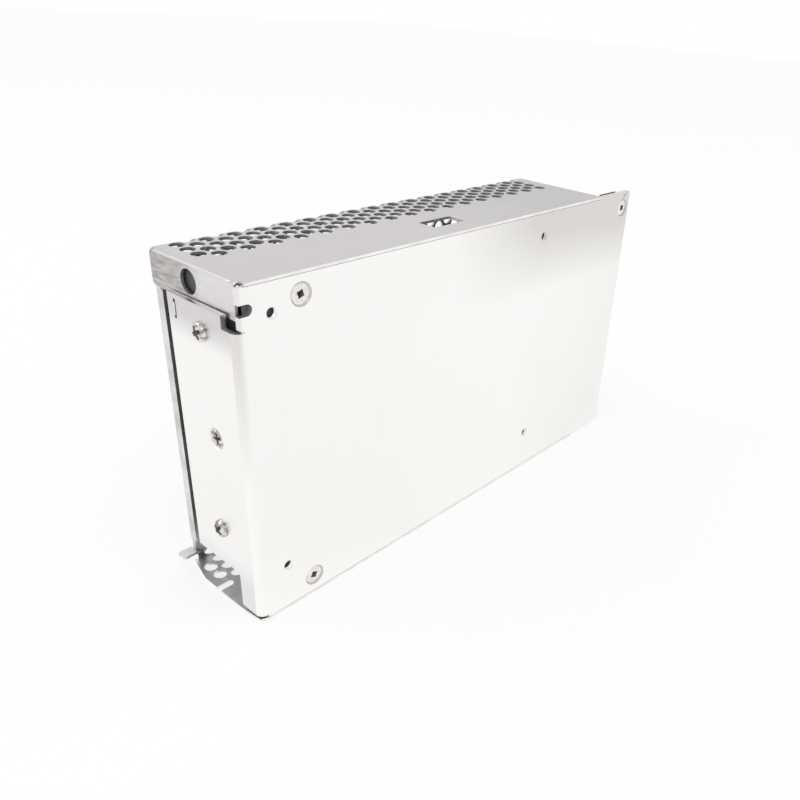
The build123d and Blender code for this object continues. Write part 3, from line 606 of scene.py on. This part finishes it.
window = [(WINDOW_LEFT, WINDOW_FRONT), (WINDOW_RIGHT, WINDOW_FRONT), (WINDOW_RIGHT, WINDOW_REAR),
          (WINDOW_LEFT, WINDOW_REAR)]
rim += outline(sheet, [(COVER_LEFT + u, v, 0) for u, v in window])[1]
hole_at = Matrix.Translation((END_BEND - ARC - (FLANGE_HOLE_DEPTH - BEND), FLANGE_HOLE_AT, 0))
flange_hole = bmesh.ops.create_circle(sheet, segments=28, radius=FLANGE_HOLE_RADIUS, matrix=hole_at)
rim += list({e for v in flange_hole["verts"] for e in v.link_edges})
rim += [e for e in sheet.edges if len(e.link_faces) == 1]
filled = bmesh.ops.triangle_fill(sheet, use_beauty=True, use_dissolve=False, edges=rim)
margin = [f for f in filled["geom"] if isinstance(f, bmesh.types.BMFace)]
for face in margin:
    face.material_index = MARGIN
print("margin faces:", len(margin), "area:", round(sum(f.calc_area() for f in margin) / 100, 1), "cm2")

# %% [markdown]
# ## Punching
# A punch leaves a round hole in each cell. Inset makes an inner face in every cell,
# its corners are moved onto the hole's circle, and the inner faces are deleted.

# %% Punch the holes
bmesh.ops.inset_individual(sheet, faces=cells, thickness=0.3, depth=0)
for face in cells:
    middle = face.calc_center_median()
    for vert in face.verts:
        vert.co = middle + (vert.co - middle).normalized() * HOLE_RADIUS
bmesh.ops.delete(sheet, geom=cells, context="FACES")
print("faces after punching:", len(sheet.faces))

# %% [markdown]
# ## Folding
# The blank is cut along seven lines in each bend, so that the fold is round.
# Then every corner of the net moves to its place: along the wall, round the bend, and on along the next
# wall. The flange and the lip fold down by the same rule from the wall that carries them.
# The photograph asks for two small slips: the rear wall's rows sit a little lower than the folded length
# says, and the flange's rear end stands a little outwards.

# %% Fold the blank
FOLD_STEPS = 6
REAR_SLIP = 0.15
FLANGE_SPREAD = 0.75
for fold_start in (FLAT_TOP, FLOOR_BEND):
    for part in range(FOLD_STEPS + 1):
        cut_across(sheet, (0, fold_start + ARC * part / FOLD_STEPS, 0), (0, 1, 0), 1e-5)
for part in range(FOLD_STEPS + 1):
    cut_across(sheet, (END_BEND - ARC * part / FOLD_STEPS, 0, 0), (1, 0, 0), 1e-5)


def along_walls(v):
    """The point on the walls' outer side, and the direction to the inside."""
    if v <= FLAT_TOP:
        return Vector((0, FRONT + v, TOP)), Vector((0, 0, -1))
    if v <= REAR_START:
        a = (v - FLAT_TOP) / BEND
        out = Vector((0, math.sin(a), math.cos(a)))
        return Vector((0, REAR - BEND, TOP - BEND)) + BEND * out, -out
    if v <= FLOOR_BEND:
        slip = REAR_SLIP * min(1, (v - REAR_START) / 1.5, (FLOOR_BEND - v) / 5)
        return Vector((0, REAR, TOP - BEND - (v - REAR_START) - slip)), Vector((0, -1, 0))
    if v <= FLOOR_START:
        a = (v - FLOOR_BEND) / BEND
        out = Vector((0, math.cos(a), -math.sin(a)))
        return Vector((0, REAR - BEND, BEND)) + BEND * out, -out
    return Vector((0, REAR - BEND - (v - FLOOR_START), 0)), Vector((0, 0, 1))


def spread(co):
    """How far the flange's rear end stands outwards, fading out at its front and over the top wall."""
    along = co.y / FLAT_TOP if co.y < FLAT_TOP else max(0, (lip_top - co.y) / (lip_top - FLAT_TOP))
    return FLANGE_SPREAD * along * max(0, min(1, (COVER_LEFT + 3.4 - co.x) / 2))


def folded(co):
    point, inward = along_walls(co.y)
    if co.y < lip_top:
        point = point - Vector((spread(co), 0, 0))
    past = END_BEND - co.x
    if past <= 0 or co.y > lip_foot + 0.01:
        return point + Vector((co.x, 0, 0))
    if past < ARC:
        a = past / BEND
        return point + Vector((END_BEND - BEND * math.sin(a), 0, 0)) + inward * (BEND * (1 - math.cos(a)))
    return point + Vector((COVER_LEFT, 0, 0)) + inward * (BEND + past - ARC)


# %% [markdown]
# ## Finishes of the folded cover, and its thickness
# Five kinds of place get their own finish: the walls with the net, the margin, the flange, the lip with the
# floor's end, and the edges. The lip and the floor's end take the lighter zinc, which is painted light.
# The Solidify modifier gives the sheet its thickness, and its rim takes the
# finish four further down the list: dull in the punched holes, bright along the sheared outline, partly as
# a painted highlight.

# %% Finish and thicken the cover
on_flap = END_BEND - ARC * 0.6
for face in sheet.faces:
    middle = face.calc_center_median()
    if middle.x < on_flap and middle.y < FLAT_TOP:
        face.material_index = FLANGE_SIDE
    on_lip = middle.x < on_flap and FLAT_TOP < middle.y < FLOOR_BEND
    if on_lip or (middle.x < COVER_LEFT + 2.0 and middle.y > FLOOR_START):
        face.material_index = LIP_SIDE
for vert in sheet.verts:
    vert.co = folded(vert.co)
bmesh.ops.recalc_face_normals(sheet, faces=sheet.faces)
top_face = max(sheet.faces, key=lambda f: f.calc_center_median().z)
if top_face.normal.z < 0:
    bmesh.ops.reverse_faces(sheet, faces=sheet.faces)
bmesh.ops.triangulate(sheet, faces=[f for f in sheet.faces if len(f.verts) > 4])
cover = piece("cover_sheet", sheet, [zinc, dragged, painted_lit_zinc, zinc, punched, punched, sheared, sheared],
              ["perforated_cover"])
keep_flat(cover, 0.999)
thick = cover.modifiers.new("sheet thickness", "SOLIDIFY")
thick.thickness, thick.offset, thick.material_offset_rim = COVER_SHEET * MM, -1.0, 4
print(cover.name, len(cover.data.polygons), "faces before thickness")

# %% [markdown]
# ## The foot tab
# At the foot of the end the lip's last strip is bent outwards into a small level tab with a round nose.
# It starts as a flat outline on the tab's own level, is given the sheet's thickness by extrusion,
# and a short neck joins it to the lip above.

# %% Foot tab
TAB_LOW = 4.4
TAB_FINGER = 1.1
NECK_HIGH = 4.7
tab_out, tab_fore, tab_back = LEFT - 2.2, REAR - 4.1, REAR - 0.2
nose = around((COVER_LEFT + TAB_FINGER / 2, tab_fore + TAB_FINGER / 2), TAB_FINGER / 2,
              (-1.57, -0.79, 0.0, 0.79, 1.57))
shape = [(tab_out, tab_fore + 0.5), (tab_out + 0.5, tab_fore), *nose, (COVER_LEFT, tab_fore + TAB_FINGER),
         (COVER_LEFT, tab_back), (tab_out + 0.5, tab_back), (tab_out, tab_back - 0.5)]
tab = bmesh.new()
tab_edges = outline(tab, [(x, y, TAB_LOW) for x, y in shape])[1]
filled = bmesh.ops.triangle_fill(tab, use_beauty=True, use_dissolve=True, edges=tab_edges)
floor_faces = [g for g in filled["geom"] if isinstance(g, bmesh.types.BMFace)]
lifted = bmesh.ops.extrude_face_region(tab, geom=floor_faces)
bmesh.ops.translate(tab, vec=(0, 0, COVER_SHEET),
                    verts=[g for g in lifted["geom"] if isinstance(g, bmesh.types.BMVert)])
bmesh.ops.recalc_face_normals(tab, faces=tab.faces)
block(tab, (COVER_SHEET, 1.6, NECK_HIGH),
      (COVER_LEFT + COVER_SHEET / 2, REAR - 2.2, TAB_LOW + NECK_HIGH / 2))
# The tab takes the lighter zinc, which is painted light.
tab_piece = piece("foot_tab", tab, [painted_lit_zinc])
round_edges(tab_piece, 0.12, 30)
print(tab_piece.name, len(tab_piece.data.polygons))

# %% [markdown]
# ## The base plate and end wall
# The photograph shows the plate's free right end standing as high as the cover's top, while the cover lies
# on the rest of its upper edge. A copy of the frame's mesh is merged and cut by two planes just past the
# cover's end, and the corner beyond them is raised by the sheet's thickness.
# The end wall's three screws sit a little off the frame's places, so each hole moves within the wall.
# A fine bevel gives the cut edges of the plate their thin bright line.

# %% Base plate with its raised corner
PLATE, SEAT, END_WALL = 0, 1, 2
SEAT_RADIUS = 3.25
SCREW_Y = FRONT + 12.8
SCREW_Z = [TOP - 14.5, TOP - 43.0, TOP - 71.5]
SCREW_MOVES = [(1.6, -0.5), (0.2, -0.9), (2.2, -1.4)]
plate_screw_at = [(LEFT + 18.9, 6.2, 0.35), (LEFT + 18.9, TOP - 6.0, 1.1), (RIGHT - 4.0, TOP - 6.0, 0.6)]
plate = merged_copy("chassis", 0.005)
shoulder = COVER_RIGHT + 0.3
for x in (shoulder, shoulder + 0.05):
    cut_across(plate, (x, 0, 0), (1, 0, 0), 1e-4)
raised = [v for v in plate.verts if v.co.x > shoulder + 0.03 and v.co.z > plate_high[2] - 2.1]
bmesh.ops.translate(plate, vec=(0, 0, TOP - plate_high[2]), verts=raised)
for z, (dy, dz) in zip(SCREW_Z, SCREW_MOVES):
    hole = [v for v in plate.verts
            if v.co.x < LEFT + 1.6 and math.hypot(v.co.y - SCREW_Y, v.co.z - z) < 3.5]
    bmesh.ops.translate(plate, vec=(0, dy, dz), verts=hole)
    print("end hole at", round(z, 1), "vertices", len(hole))
# The countersunk seats round the plate's screws take the darker zinc, which is painted shade.
for face in plate.faces:
    middle = face.calc_center_median()
    near = min(math.hypot(middle.x - x, middle.z - z) for x, z, turn in plate_screw_at)
    in_seat = near < SEAT_RADIUS and face.normal.y > -0.98 and middle.y < FRONT + 1.6
    face.material_index = SEAT if in_seat else PLATE
    if face.normal.x < -0.999 and middle.x < LEFT + 0.1:
        face.material_index = END_WALL
plate_piece = piece("base_plate", plate, [aluminium, zinc, wall_aluminium], ["chassis"])
keep_flat(plate_piece, 0.9999)
round_edges(plate_piece, 0.12, 50)
print(plate_piece.name, "corner raised to", round(TOP, 1), "mm, vertices moved:", len(raised))

# %% [markdown]
# ## The tongue in the end wall's slit
# The slit near the end wall's upper rear corner holds a small bright tongue of the cover, so only its two
# ends look dark. It is a thin block in the middle of the slit.

# %% Slit tongue
tongue = bmesh.new()
SLIT_FROM_REAR, SLIT_HALF_WIDE = 2.6, 0.45
SLIT_MIDDLE = 12.15
slit_y = plate_high[1] - SLIT_FROM_REAR - SLIT_HALF_WIDE
block(tongue, (2.6, 0.55, 3.3), (LEFT + 1.15, slit_y, TOP - SLIT_MIDDLE))
# The tongue takes the lighter zinc, which is painted light.
piece("slit_tongue", tongue, [painted_lit_zinc])
print("tongue at", round(slit_y, 2))

# %% [markdown]
# ## Screws with a cross recess
# The flat and pan heads have a cross recess: two tapering slots that meet in a round well.
# The head is turned from its profile, then the well and two crossing wedges are cut out of it.
# Cutting with a Boolean keeps the flanks of the recess sharp, and only a few small shapes need it.
# In the end wall the heads follow the moved holes, while the threaded ends inside keep to the clamp bar's.

# %% Turned screws and their recess
FLAT_HEAD = [(0, -0.30), (2.45, -0.30), (2.72, -0.38), (2.78, -0.48), (1.5, -1.49)]
PAN_HEAD = [(0, 1.4), (1.1, 1.36), (1.8, 1.2), (2.3, 0.9), (2.55, 0.5), (2.55, 0.1), (2.45, 0), (1.5, 0)]
SHORT_SHANK = [(1.5, -2.4), (0, -2.4)]
FLAT_TOP_AT, PAN_TOP_AT = -0.30, 1.4
RECESS_DEPTH = 1.2
RECESS_SHARE = 0.26
ABOVE = 0.05


def cross_cutter(bm, span, core, top, matrix):
    """The shape to cut away: a tapering round well, and two tapering bars across it."""
    down = matrix @ Matrix.Translation((0, 0, top - RECESS_DEPTH / 2 + ABOVE))
    bmesh.ops.create_cone(bm, cap_ends=True, segments=16, radius1=0.4 * core, radius2=core,
                          depth=RECESS_DEPTH, matrix=down)
    narrow = Matrix.Diagonal((1, RECESS_SHARE, 1, 1)) @ Matrix.Rotation(math.pi / 4, 4, "Z")
    for turn in (0, math.pi / 2):
        bmesh.ops.create_cone(bm, cap_ends=True, segments=4, radius1=0.25, radius2=span / math.sqrt(2),
                              depth=RECESS_DEPTH, matrix=down @ Matrix.Rotation(turn, 4, "Z") @ narrow)


def screws(name, places, profile, top, span, node, finish, core=0.6):
    heads, cutters = bmesh.new(), bmesh.new()
    for matrix in places:
        turned(heads, profile, 28, matrix)
        cross_cutter(cutters, span, core, top, matrix)
    # The cutter's faces carry the recess finish, so the cut is coloured with painted shade.
    paint(cutters.verts, 1)
    bmesh.ops.recalc_face_normals(cutters, faces=cutters.faces)
    heads_piece = piece(name, heads, [finish, recess], [node])
    cutter = placed("recess", mesh_of("recess", cutters, [finish, recess]))
    cut = heads_piece.modifiers.new("recess", "BOOLEAN")
    cut.operation, cut.object, cut.solver, cut.use_self = "DIFFERENCE", cutter, "EXACT", True
    bpy.context.view_layer.update()
    evaluated = heads_piece.evaluated_get(bpy.context.evaluated_depsgraph_get())
    ready = bpy.data.meshes.new_from_object(evaluated)
    heads_piece.modifiers.clear()
    heads_piece.data = ready
    ready.set_sharp_from_angle(angle=SHARP)
    bpy.data.objects.remove(cutter)
    print(name, len(ready.polygons), "faces")
    return heads_piece


def add_shanks(screw_piece, heights):
    """The threaded ends inside, which stand on the clamp bar's own holes."""
    bm = bmesh.new()
    bm.from_mesh(screw_piece.data)
    for z in heights:
        at = Matrix.Scale(MM, 4) @ Matrix.Translation((LEFT + 7.45, SCREW_Y, z)) @ ALONG_CASE
        rod(bm, 1.5, 9.7, 20, at)
    bm.to_mesh(screw_piece.data)
    bm.free()


plate_places = [Matrix.Translation((x, FRONT, z)) @ OUT_OF_PLATE @ Matrix.Rotation(turn, 4, "Z")
                for x, z, turn in plate_screw_at]
screws("plate_screws", plate_places, FLAT_HEAD + [(1.5, -4.0), (0, -4.0)], FLAT_TOP_AT, 2.5, "base_screws",
       pale_nickel, 0.95)
upper, centre, lower = [
    Matrix.Translation((LEFT, SCREW_Y + dy, z + dz)) @ OUT_OF_END @ Matrix.Rotation(turn, 4, "Z")
    for z, (dy, dz), turn in zip(SCREW_Z, SCREW_MOVES, (0.5, 0.2, 0.9))]
pans = screws("end_pan_screws", [upper, lower], PAN_HEAD + SHORT_SHANK, PAN_TOP_AT, 4.2,
              "end_wall_screws", nickel, 0.5)
add_shanks(pans, [SCREW_Z[0], SCREW_Z[2]])
flat = screws("end_flat_screw", [centre], FLAT_HEAD + SHORT_SHANK, FLAT_TOP_AT, 3.4, "centre_screw", nickel)
add_shanks(flat, [SCREW_Z[1]])

# %% [markdown]
# ## Threads of the mounting holes
# The four mounting holes are tapped M3, so their walls carry three turns of thread.
# A fine saw-tooth profile spun round the hole's axis reads as a thread at this size.

# %% Threads
THREAD_PITCH = 0.45
threads = bmesh.new()
saw = [(1.62, 0.0), (1.62, -0.05)]
for turn in range(3):
    saw += [(1.36, -0.20 - THREAD_PITCH * turn), (1.58, -0.42 - THREAD_PITCH * turn)]
saw += [(1.62, -1.48)]
for x in (LEFT + 10.2, LEFT + 118.8):
    for z in (14.85, TOP - 8.65):
        turned(threads, saw, 24, Matrix.Translation((x, FRONT, z)) @ OUT_OF_PLATE)
bmesh.ops.reverse_faces(threads, faces=threads.faces)
piece("hole_threads", threads, [aluminium])
print("threads in four holes")

# %% [markdown]
# ## The film behind the flange
# The photograph shows something dark grey closing the flange's large hole from inside.
# Such supplies are lined with polyester film there, folded up from the sheet under the board,
# so a strip of film stands close behind the flange, with a lower strip behind the corner relief.
# A third strip of the same film stands behind the plate's free upper edge and shows there as a dark line.

# %% Film flap
flap = bmesh.new()
behind_flange = COVER_LEFT + 0.95
block(flap, (0.15, 22.0, 8.0), (behind_flange, FRONT + 19.0, TOP - 5.4))
block(flap, (10.6, 0.2, 9.0), (COVER_RIGHT + 6.3, FRONT + 1.75, TOP - 4.25))
block(flap, (0.15, 9.0, 8.0), (behind_flange, FRONT + 6.3, TOP - 12.8))
piece("film_flap", flap, [dark_film])
print("film flap behind the flange, and the film's edge behind the plate")

# %% [markdown]
# ## Moulded and pressed pieces
# The terminal block, the packages and the cores are moulded or pressed, so their edges are a little round.
# A copy of the frame's own mesh is merged, and a Bevel modifier rounds every sharp edge by a fraction of
# a millimetre. That keeps its shape and gives the edges the highlight of a moulded piece.

# %% Softened copies of moulded pieces


def softened(node, material, width_mm):
    bm = merged_copy(node, 0.01)
    flat_edges = [e for e in bm.edges if len(e.link_faces) == 2 and e.calc_face_angle(0.0) < 0.01]
    bmesh.ops.dissolve_edges(bm, edges=flat_edges, use_verts=False)
    round_edges(piece(node + "_moulded", bm, [material], [node]), width_mm, 40)


softened("terminal_block", polyester, 0.25)
for node in ("output_rectifier_1", "output_rectifier_2", "switching_transistor_1", "switching_transistor_2",
             "control_chip", "optocoupler"):
    softened(node, epoxy, 0.18)
for node, material, width_mm in [("bridge_rectifier", epoxy, 0.3), ("trimmer_body", trimmer_blue, 0.15),
                                 ("film_capacitor", yellow_box, 0.5), ("filter_choke_core", ferrite, 0.4),
                                 ("transformer_core", ferrite, 0.5), ("clamp_bar", dull_zinc, 0.3),
                                 ("support_post", nylon, 0.2)]:
    softened(node, material, width_mm)
print("softened the moulded pieces")

# %% [markdown]
# ## Terminal screws
# Each terminal has a screw with a cross recess, standing on its contact plate.
# The head is turned from its profile, and the recess is cut the same way as in the case screws.

# %% Terminal screws
TERMINALS = 7
TERMINAL_RADIUS = 3.1
TERMINAL_TOP = 1.95
terminal_low, terminal_high = box_mm("terminal_screws")
first_z = terminal_low[2] + TERMINAL_RADIUS
screw_x = (terminal_low[0] + terminal_high[0]) / 2
step = (terminal_high[2] - terminal_low[2] - 2 * TERMINAL_RADIUS) / (TERMINALS - 1)
TERMINAL_PROFILE = [(0, TERMINAL_TOP), (1.6, 1.9), (2.4, 1.7), (2.9, 1.25), (3.05, 0.8), (3.05, 0), (0, 0)]
terminal_places = [Matrix.Translation((screw_x, terminal_low[1], first_z + i * step)) @ ON_BOARD
                   @ Matrix.Rotation(0.3 + 0.9 * i, 4, "Z") for i in range(TERMINALS)]
screws("terminal_heads", terminal_places, TERMINAL_PROFILE, TERMINAL_TOP, 3.8, "terminal_screws", nickel)

# %% [markdown]
# ## Sleeved cans
# An electrolytic capacitor is an aluminium can in a shrunk sleeve. Near its foot the can is beaded inwards,
# and the sleeve turns over the top edge, leaving a bare disc with two crossed vent lines.
# One profile is turned for each size: the sleeve first, then the bare top as its own surface.

# %% Cans


def middle_on_board(node):
    low, high = box_mm(node)
    return Matrix.Translation(((low[0] + high[0]) / 2, low[1], (low[2] + high[2]) / 2)) @ ON_BOARD


def can(name, node, r, h, sleeve):
    where = middle_on_board(node)
    bm = bmesh.new()
    profile = [(0, 0.35), (r - 1.4, 0.3), (r - 1.1, 0), (r - 0.35, 0), (r - 0.03, 0.35), (r - 0.03, 1.6),
               (r - 0.35, 2.2), (r - 0.35, 2.6), (r - 0.03, 3.2), (r - 0.03, h - 0.7), (r - 0.25, h - 0.2),
               (r - 0.7, h - 0.02), (r - 1.3, h - 0.06), (r - 1.45, h - 0.22)]
    turned(bm, profile, 40, where)
    turned(bm, [(r - 1.45, h - 0.22), (r - 1.9, h - 0.30), (0, h - 0.32)], 40, where, 1)
    for turn in (0, math.pi / 2):
        block(bm, (1.3 * (r - 2), 0.22, 0.12), (0, 0, h - 0.30), where @ Matrix.Rotation(turn, 4, "Z"), 1)
    piece(name, bm, [sleeve, can_top], [node])


for number in (1, 2):
    can(f"bulk_can_{number}", f"bulk_capacitor_{number}", 9.0, 26.0, black_sleeve)
for number in (1, 2, 3):
    can(f"output_can_{number}", f"output_capacitor_{number}", 5.0, 20.0, green_sleeve)
print("five cans")

# %% [markdown]
# ## Dipped discs
# The two safety capacitors and the thermistor are discs dipped in resin. The dip rounds their edges and
# runs a little way down the two wire leads. The disc is turned from a rounded profile,
# and each lead is a small cylinder that stands in the board.

# %% Discs on two leads
LEAD_GAP = 3.2
LEAD_RADIUS = 0.34
LEAD_LENGTH = 2.6


def disc(bm, radius, thickness, x, z):
    r, half = radius - 0.02, thickness / 2 - 0.02
    profile = [(0, half), (r * 0.62, half * 0.96), (r * 0.86, half * 0.72), (r * 0.97, half * 0.36), (r, 0),
               (r * 0.97, -half * 0.36), (r * 0.86, -half * 0.72), (r * 0.62, -half * 0.96), (0, -half)]
    turned(bm, profile, 32, Matrix.Translation((x, BOARD_FACE + 1.5 + radius, z)) @ ALONG_CASE)
    for side in (-1, 1):
        foot = Matrix.Translation((x, BOARD_FACE, z + side * LEAD_GAP / 2)) @ ON_BOARD
        lift = Matrix.Translation((0, 0, LEAD_LENGTH / 2))
        rod(bm, LEAD_RADIUS, LEAD_LENGTH, 10, foot @ lift, 1)
        turned(bm, [(0.36, 1.2), (0.75, 1.9), (1.1, 2.9)], 12, foot)


low, high = box_mm("safety_capacitors")
bm = bmesh.new()
for x in (low[0] + 2.0, high[0] - 2.0):
    disc(bm, 4.5, 4.0, x, (low[2] + high[2]) / 2)
piece("safety_discs", bm, [blue_disc, tinned], ["safety_capacitors"])
low, high = box_mm("thermistor")
bm = bmesh.new()
disc(bm, 6.0, 5.0, (low[0] + high[0]) / 2, (low[2] + high[2]) / 2)
piece("thermistor_disc", bm, [dark_disc, tinned], ["thermistor"])
print("three discs")

# %% [markdown]
# ## The wound ring
# The output choke is a powder ring wound with thick enamelled wire. Each turn is a rounded loop that hugs
# the ring's section. One loop is a closed Bezier curve of four points with a round bevel.
# It is made into a mesh once and repeated round the ring, so every turn is the same few faces.

# %% Toroid turns
WIRE = 0.55
TURNS = 28
ring_at = middle_on_board("output_choke")
bm = bmesh.new()
turned(bm, [(5.9, 1.2), (9.7, 1.2), (9.9, 1.5), (9.9, 9.4), (9.5, 9.8), (6.1, 9.8), (5.8, 9.4), (5.8, 1.5),
            (5.9, 1.2)], 48, ring_at, 1)
loop = bpy.data.curves.new("one turn", "CURVE")
loop.dimensions, loop.bevel_depth, loop.bevel_resolution = "3D", WIRE, 2
spline = loop.splines.new("BEZIER")
spline.bezier_points.add(3)
spline.use_cyclic_u, loop.resolution_u = True, 4
corners = [(5.25, 5.5), (7.8, 10.35), (10.4, 5.5), (7.8, 0.6)]
handles = [(0, 3.4), (2.0, 0), (0, -3.4), (-2.0, 0)]
for point, (r, h), (dr, dh) in zip(spline.bezier_points, corners, handles):
    point.co = (r, 0, h)
    point.handle_left_type = point.handle_right_type = "ALIGNED"
    point.handle_right = point.co + Vector((dr, 0, dh))
    point.handle_left = point.co - Vector((dr, 0, dh))
loop_object = bpy.data.objects.new("one turn", loop)
one_turn = bpy.data.meshes.new_from_object(loop_object)
bpy.data.objects.remove(loop_object)
for k in range(TURNS):
    before = set(bm.verts)
    bm.from_mesh(one_turn)
    fresh = [v for v in bm.verts if v not in before]
    bmesh.ops.transform(bm, matrix=ring_at @ Matrix.Rotation(2 * math.pi * k / TURNS, 4, "Z"), verts=fresh)
piece("wound_ring", bm, [copper, ferrite], ["output_choke"])
print("turns on the ring:", TURNS)

# %% [markdown]
# ## The indicator lamp
# A three millimetre lamp has a domed top and a small rim at its foot.
# It is turned from that profile, with the roots of its two wires showing below.

# %% Lamp
where = middle_on_board("indicator_led")
bm = bmesh.new()
dome = around((0, 3.5), 1.45, (0, 0.3, 0.6, 0.9, 1.2, 1.45))
turned(bm, [(0, 0.3), (1.49, 0.3), (1.49, 1.0), (1.45, 1.05), *dome, (0, 4.95)], 28, where)
for side in (-1, 1):
    block(bm, (0.5, 0.5, 0.7), (side * 0.7, 0, 0.2), where, 1)
piece("lamp", bm, [lamp_green, tinned], ["indicator_led"])
print("lamp")

# %% [markdown]
# ## The fuse
# A 5 by 20 fuse is a thick glass tube between two plated caps, with a thin wire along its axis.
# The tube and the caps are turned from their profiles; the wire is a fine cylinder.

# %% Fuse
low, high = box_mm("fuse")
where = Matrix.Translation([(a + b) / 2 for a, b in zip(low, high)]) @ ALONG_CASE
half, reach = (high[1] - low[1]) / 2, (high[0] - low[0]) / 2
outer, inner, tube_end = half - 0.3, half - 0.8, reach - 1
bm = bmesh.new()
tube = [(outer, -tube_end), (outer, tube_end), (inner, tube_end), (inner, -tube_end)]
turned(bm, tube + tube[:1], 24, where)
for side in (-1, 1):
    cap = [(0, reach - 0.05), (half - 0.5, reach - 0.05), (half - 0.05, reach - 0.5),
           (half - 0.02, reach - 5.0), (half - 0.28, reach - 5.0)]
    turned(bm, [(r, side * h) for r, h in cap], 24, where, 1)
rod(bm, 0.12, 2 * tube_end, 8, where, 1)
piece("fuse_tube", bm, [glass, tinned], ["fuse"])
print("fuse of", round(2 * reach, 1), "mm")

# %% [markdown]
# ## The white room
# The photograph has a pure white ground, so the camera, and anything clear, sees a white room.
# Shiny surfaces see a room that is a little greyer in front, so bright metal stands out from the ground.
# The room itself lights the object softly from all round.

# %% World
ROOM_LIGHT, MIRROR_FRONT, MIRROR_REAR = 0.78, 0.84, 1.02
world = bpy.data.worlds.new("white room")
bpy.context.scene.world = world
world.use_nodes = True
tree = world.node_tree
tree.nodes.clear()
path = add(tree, "ShaderNodeLightPath")
seen = add(tree, "ShaderNodeMath", {0: path.outputs["Is Camera Ray"],
                                    1: path.outputs["Is Transmission Ray"]}, operation="MAXIMUM")
direction = add(tree, "ShaderNodeTexCoord")
split = add(tree, "ShaderNodeSeparateXYZ", {"Vector": direction})
band = add(tree, "ShaderNodeMapRange", {"Value": split.outputs["Y"], "From Min": -0.9, "From Max": 0.2,
                                        "To Min": MIRROR_FRONT, "To Max": MIRROR_REAR})
mirror_sky, soft_sky, pure = [
    add(tree, "ShaderNodeBackground", {"Color": colour("#FFFFFF"), "Strength": strength})
    for strength in (band, ROOM_LIGHT, 1.0)]
by_gloss = add(tree, "ShaderNodeMixShader", {0: path.outputs["Is Glossy Ray"], 1: soft_sky, 2: mirror_sky})
by_eye = add(tree, "ShaderNodeMixShader", {0: seen, 1: by_gloss, 2: pure})
add(tree, "ShaderNodeOutputWorld", {"Surface": by_eye})
print(world.name)

# %% [markdown]
# ## The floor
# The floor is white paper. Two thirds of what the camera sees of it is a glow and the rest is lit paper,
# so it is as white as the ground of the photograph and keeps a little of the object's soft shadow.

# %% Floor
GLOW_SHARE = 0.66
GLOW_SEEN, GLOW_MIRRORED = 1.07, 1.12
FLOOR_HALF_MM = 4000
paper, tree, shader, place = start("white paper", Base_Color=colour("#FFFFFF"), Roughness=0.9)
path = add(tree, "ShaderNodeLightPath")
level = add(tree, "ShaderNodeMapRange", {"Value": path.outputs["Is Glossy Ray"], "To Min": GLOW_SEEN,
                                         "To Max": GLOW_MIRRORED})
glow = add(tree, "ShaderNodeEmission", {"Color": colour("#FFFFFF"), "Strength": level})
seen = add(tree, "ShaderNodeMath", {0: path.outputs["Is Camera Ray"], 1: path.outputs["Is Glossy Ray"]},
           operation="MAXIMUM")
share = add(tree, "ShaderNodeMath", {0: seen, 1: GLOW_SHARE}, operation="MULTIPLY")
both = add(tree, "ShaderNodeMixShader", {0: share, 1: shader, 2: glow})
tree.links.new(both.outputs["Shader"], tree.nodes["Material Output"].inputs["Surface"])
ground = bmesh.new()
bmesh.ops.create_grid(ground, x_segments=1, y_segments=1, size=FLOOR_HALF_MM)
floor = placed("floor", mesh_of("floor", ground, [paper]))
print(floor.name, "of", paper.name)

# %% [markdown]
# ## Two lamps
# One large lamp in front adds a gentle direction to the room's even light.
# A smaller one behind, on the left, puts a bright line on the folded edges.

# %% Lamps


def area_lamp(name, size, watts, at, aim):
    data = bpy.data.lights.new(name, "AREA")
    data.shape, (data.size, data.size_y), data.energy = "RECTANGLE", size, watts
    lamp = placed(name, data)
    lamp.location = at
    lamp.rotation_euler = (Vector(aim) - lamp.location).to_track_quat("-Z", "Y").to_euler()
    print(name, "of", watts, "W")


area_lamp("soft box", (0.9, 0.7), 2.2, (-0.9, -1.0, 1.3), (0, 0, 0.05))
area_lamp("edge light", (0.5, 0.25), 0.75, (-0.55, 0.55, 0.74), (-0.08, 0, 0.09))

# %% [markdown]
# ## The photograph's camera
# The straight edges, the lattice of holes and the screws of the photograph gave the camera by calculation.
# It stands 175 mm to the left and 162 mm in front of the middle of the case, 156 mm high, with a lens
# of 34.6 mm.

# %% Camera
FOCAL_PIXELS, PICTURE_PIXELS, SENSOR_MM = 768.7, 800, 36.0
camera_data = bpy.data.cameras.new("photo camera")
camera = placed("photo camera", camera_data)
right = Vector((0.64276, -0.76342, 0.06369))
up = Vector((0.32489, 0.34694, 0.87982))
back = Vector((-0.69376, -0.54482, 0.47103))
turn = Matrix((right, up, back)).transposed().to_4x4()
camera.matrix_world = Matrix.Translation((-0.17538, -0.16170, 0.15603)) @ turn
camera_data.sensor_width = SENSOR_MM
camera_data.lens = FOCAL_PIXELS * SENSOR_MM / PICTURE_PIXELS
camera_data.shift_x, camera_data.shift_y = -0.1, 0.0179
camera_data.clip_start = 0.01
scene = bpy.context.scene
scene.camera = camera
scene.view_settings.view_transform = "Standard"
print("lens", round(camera_data.lens, 2), "mm")
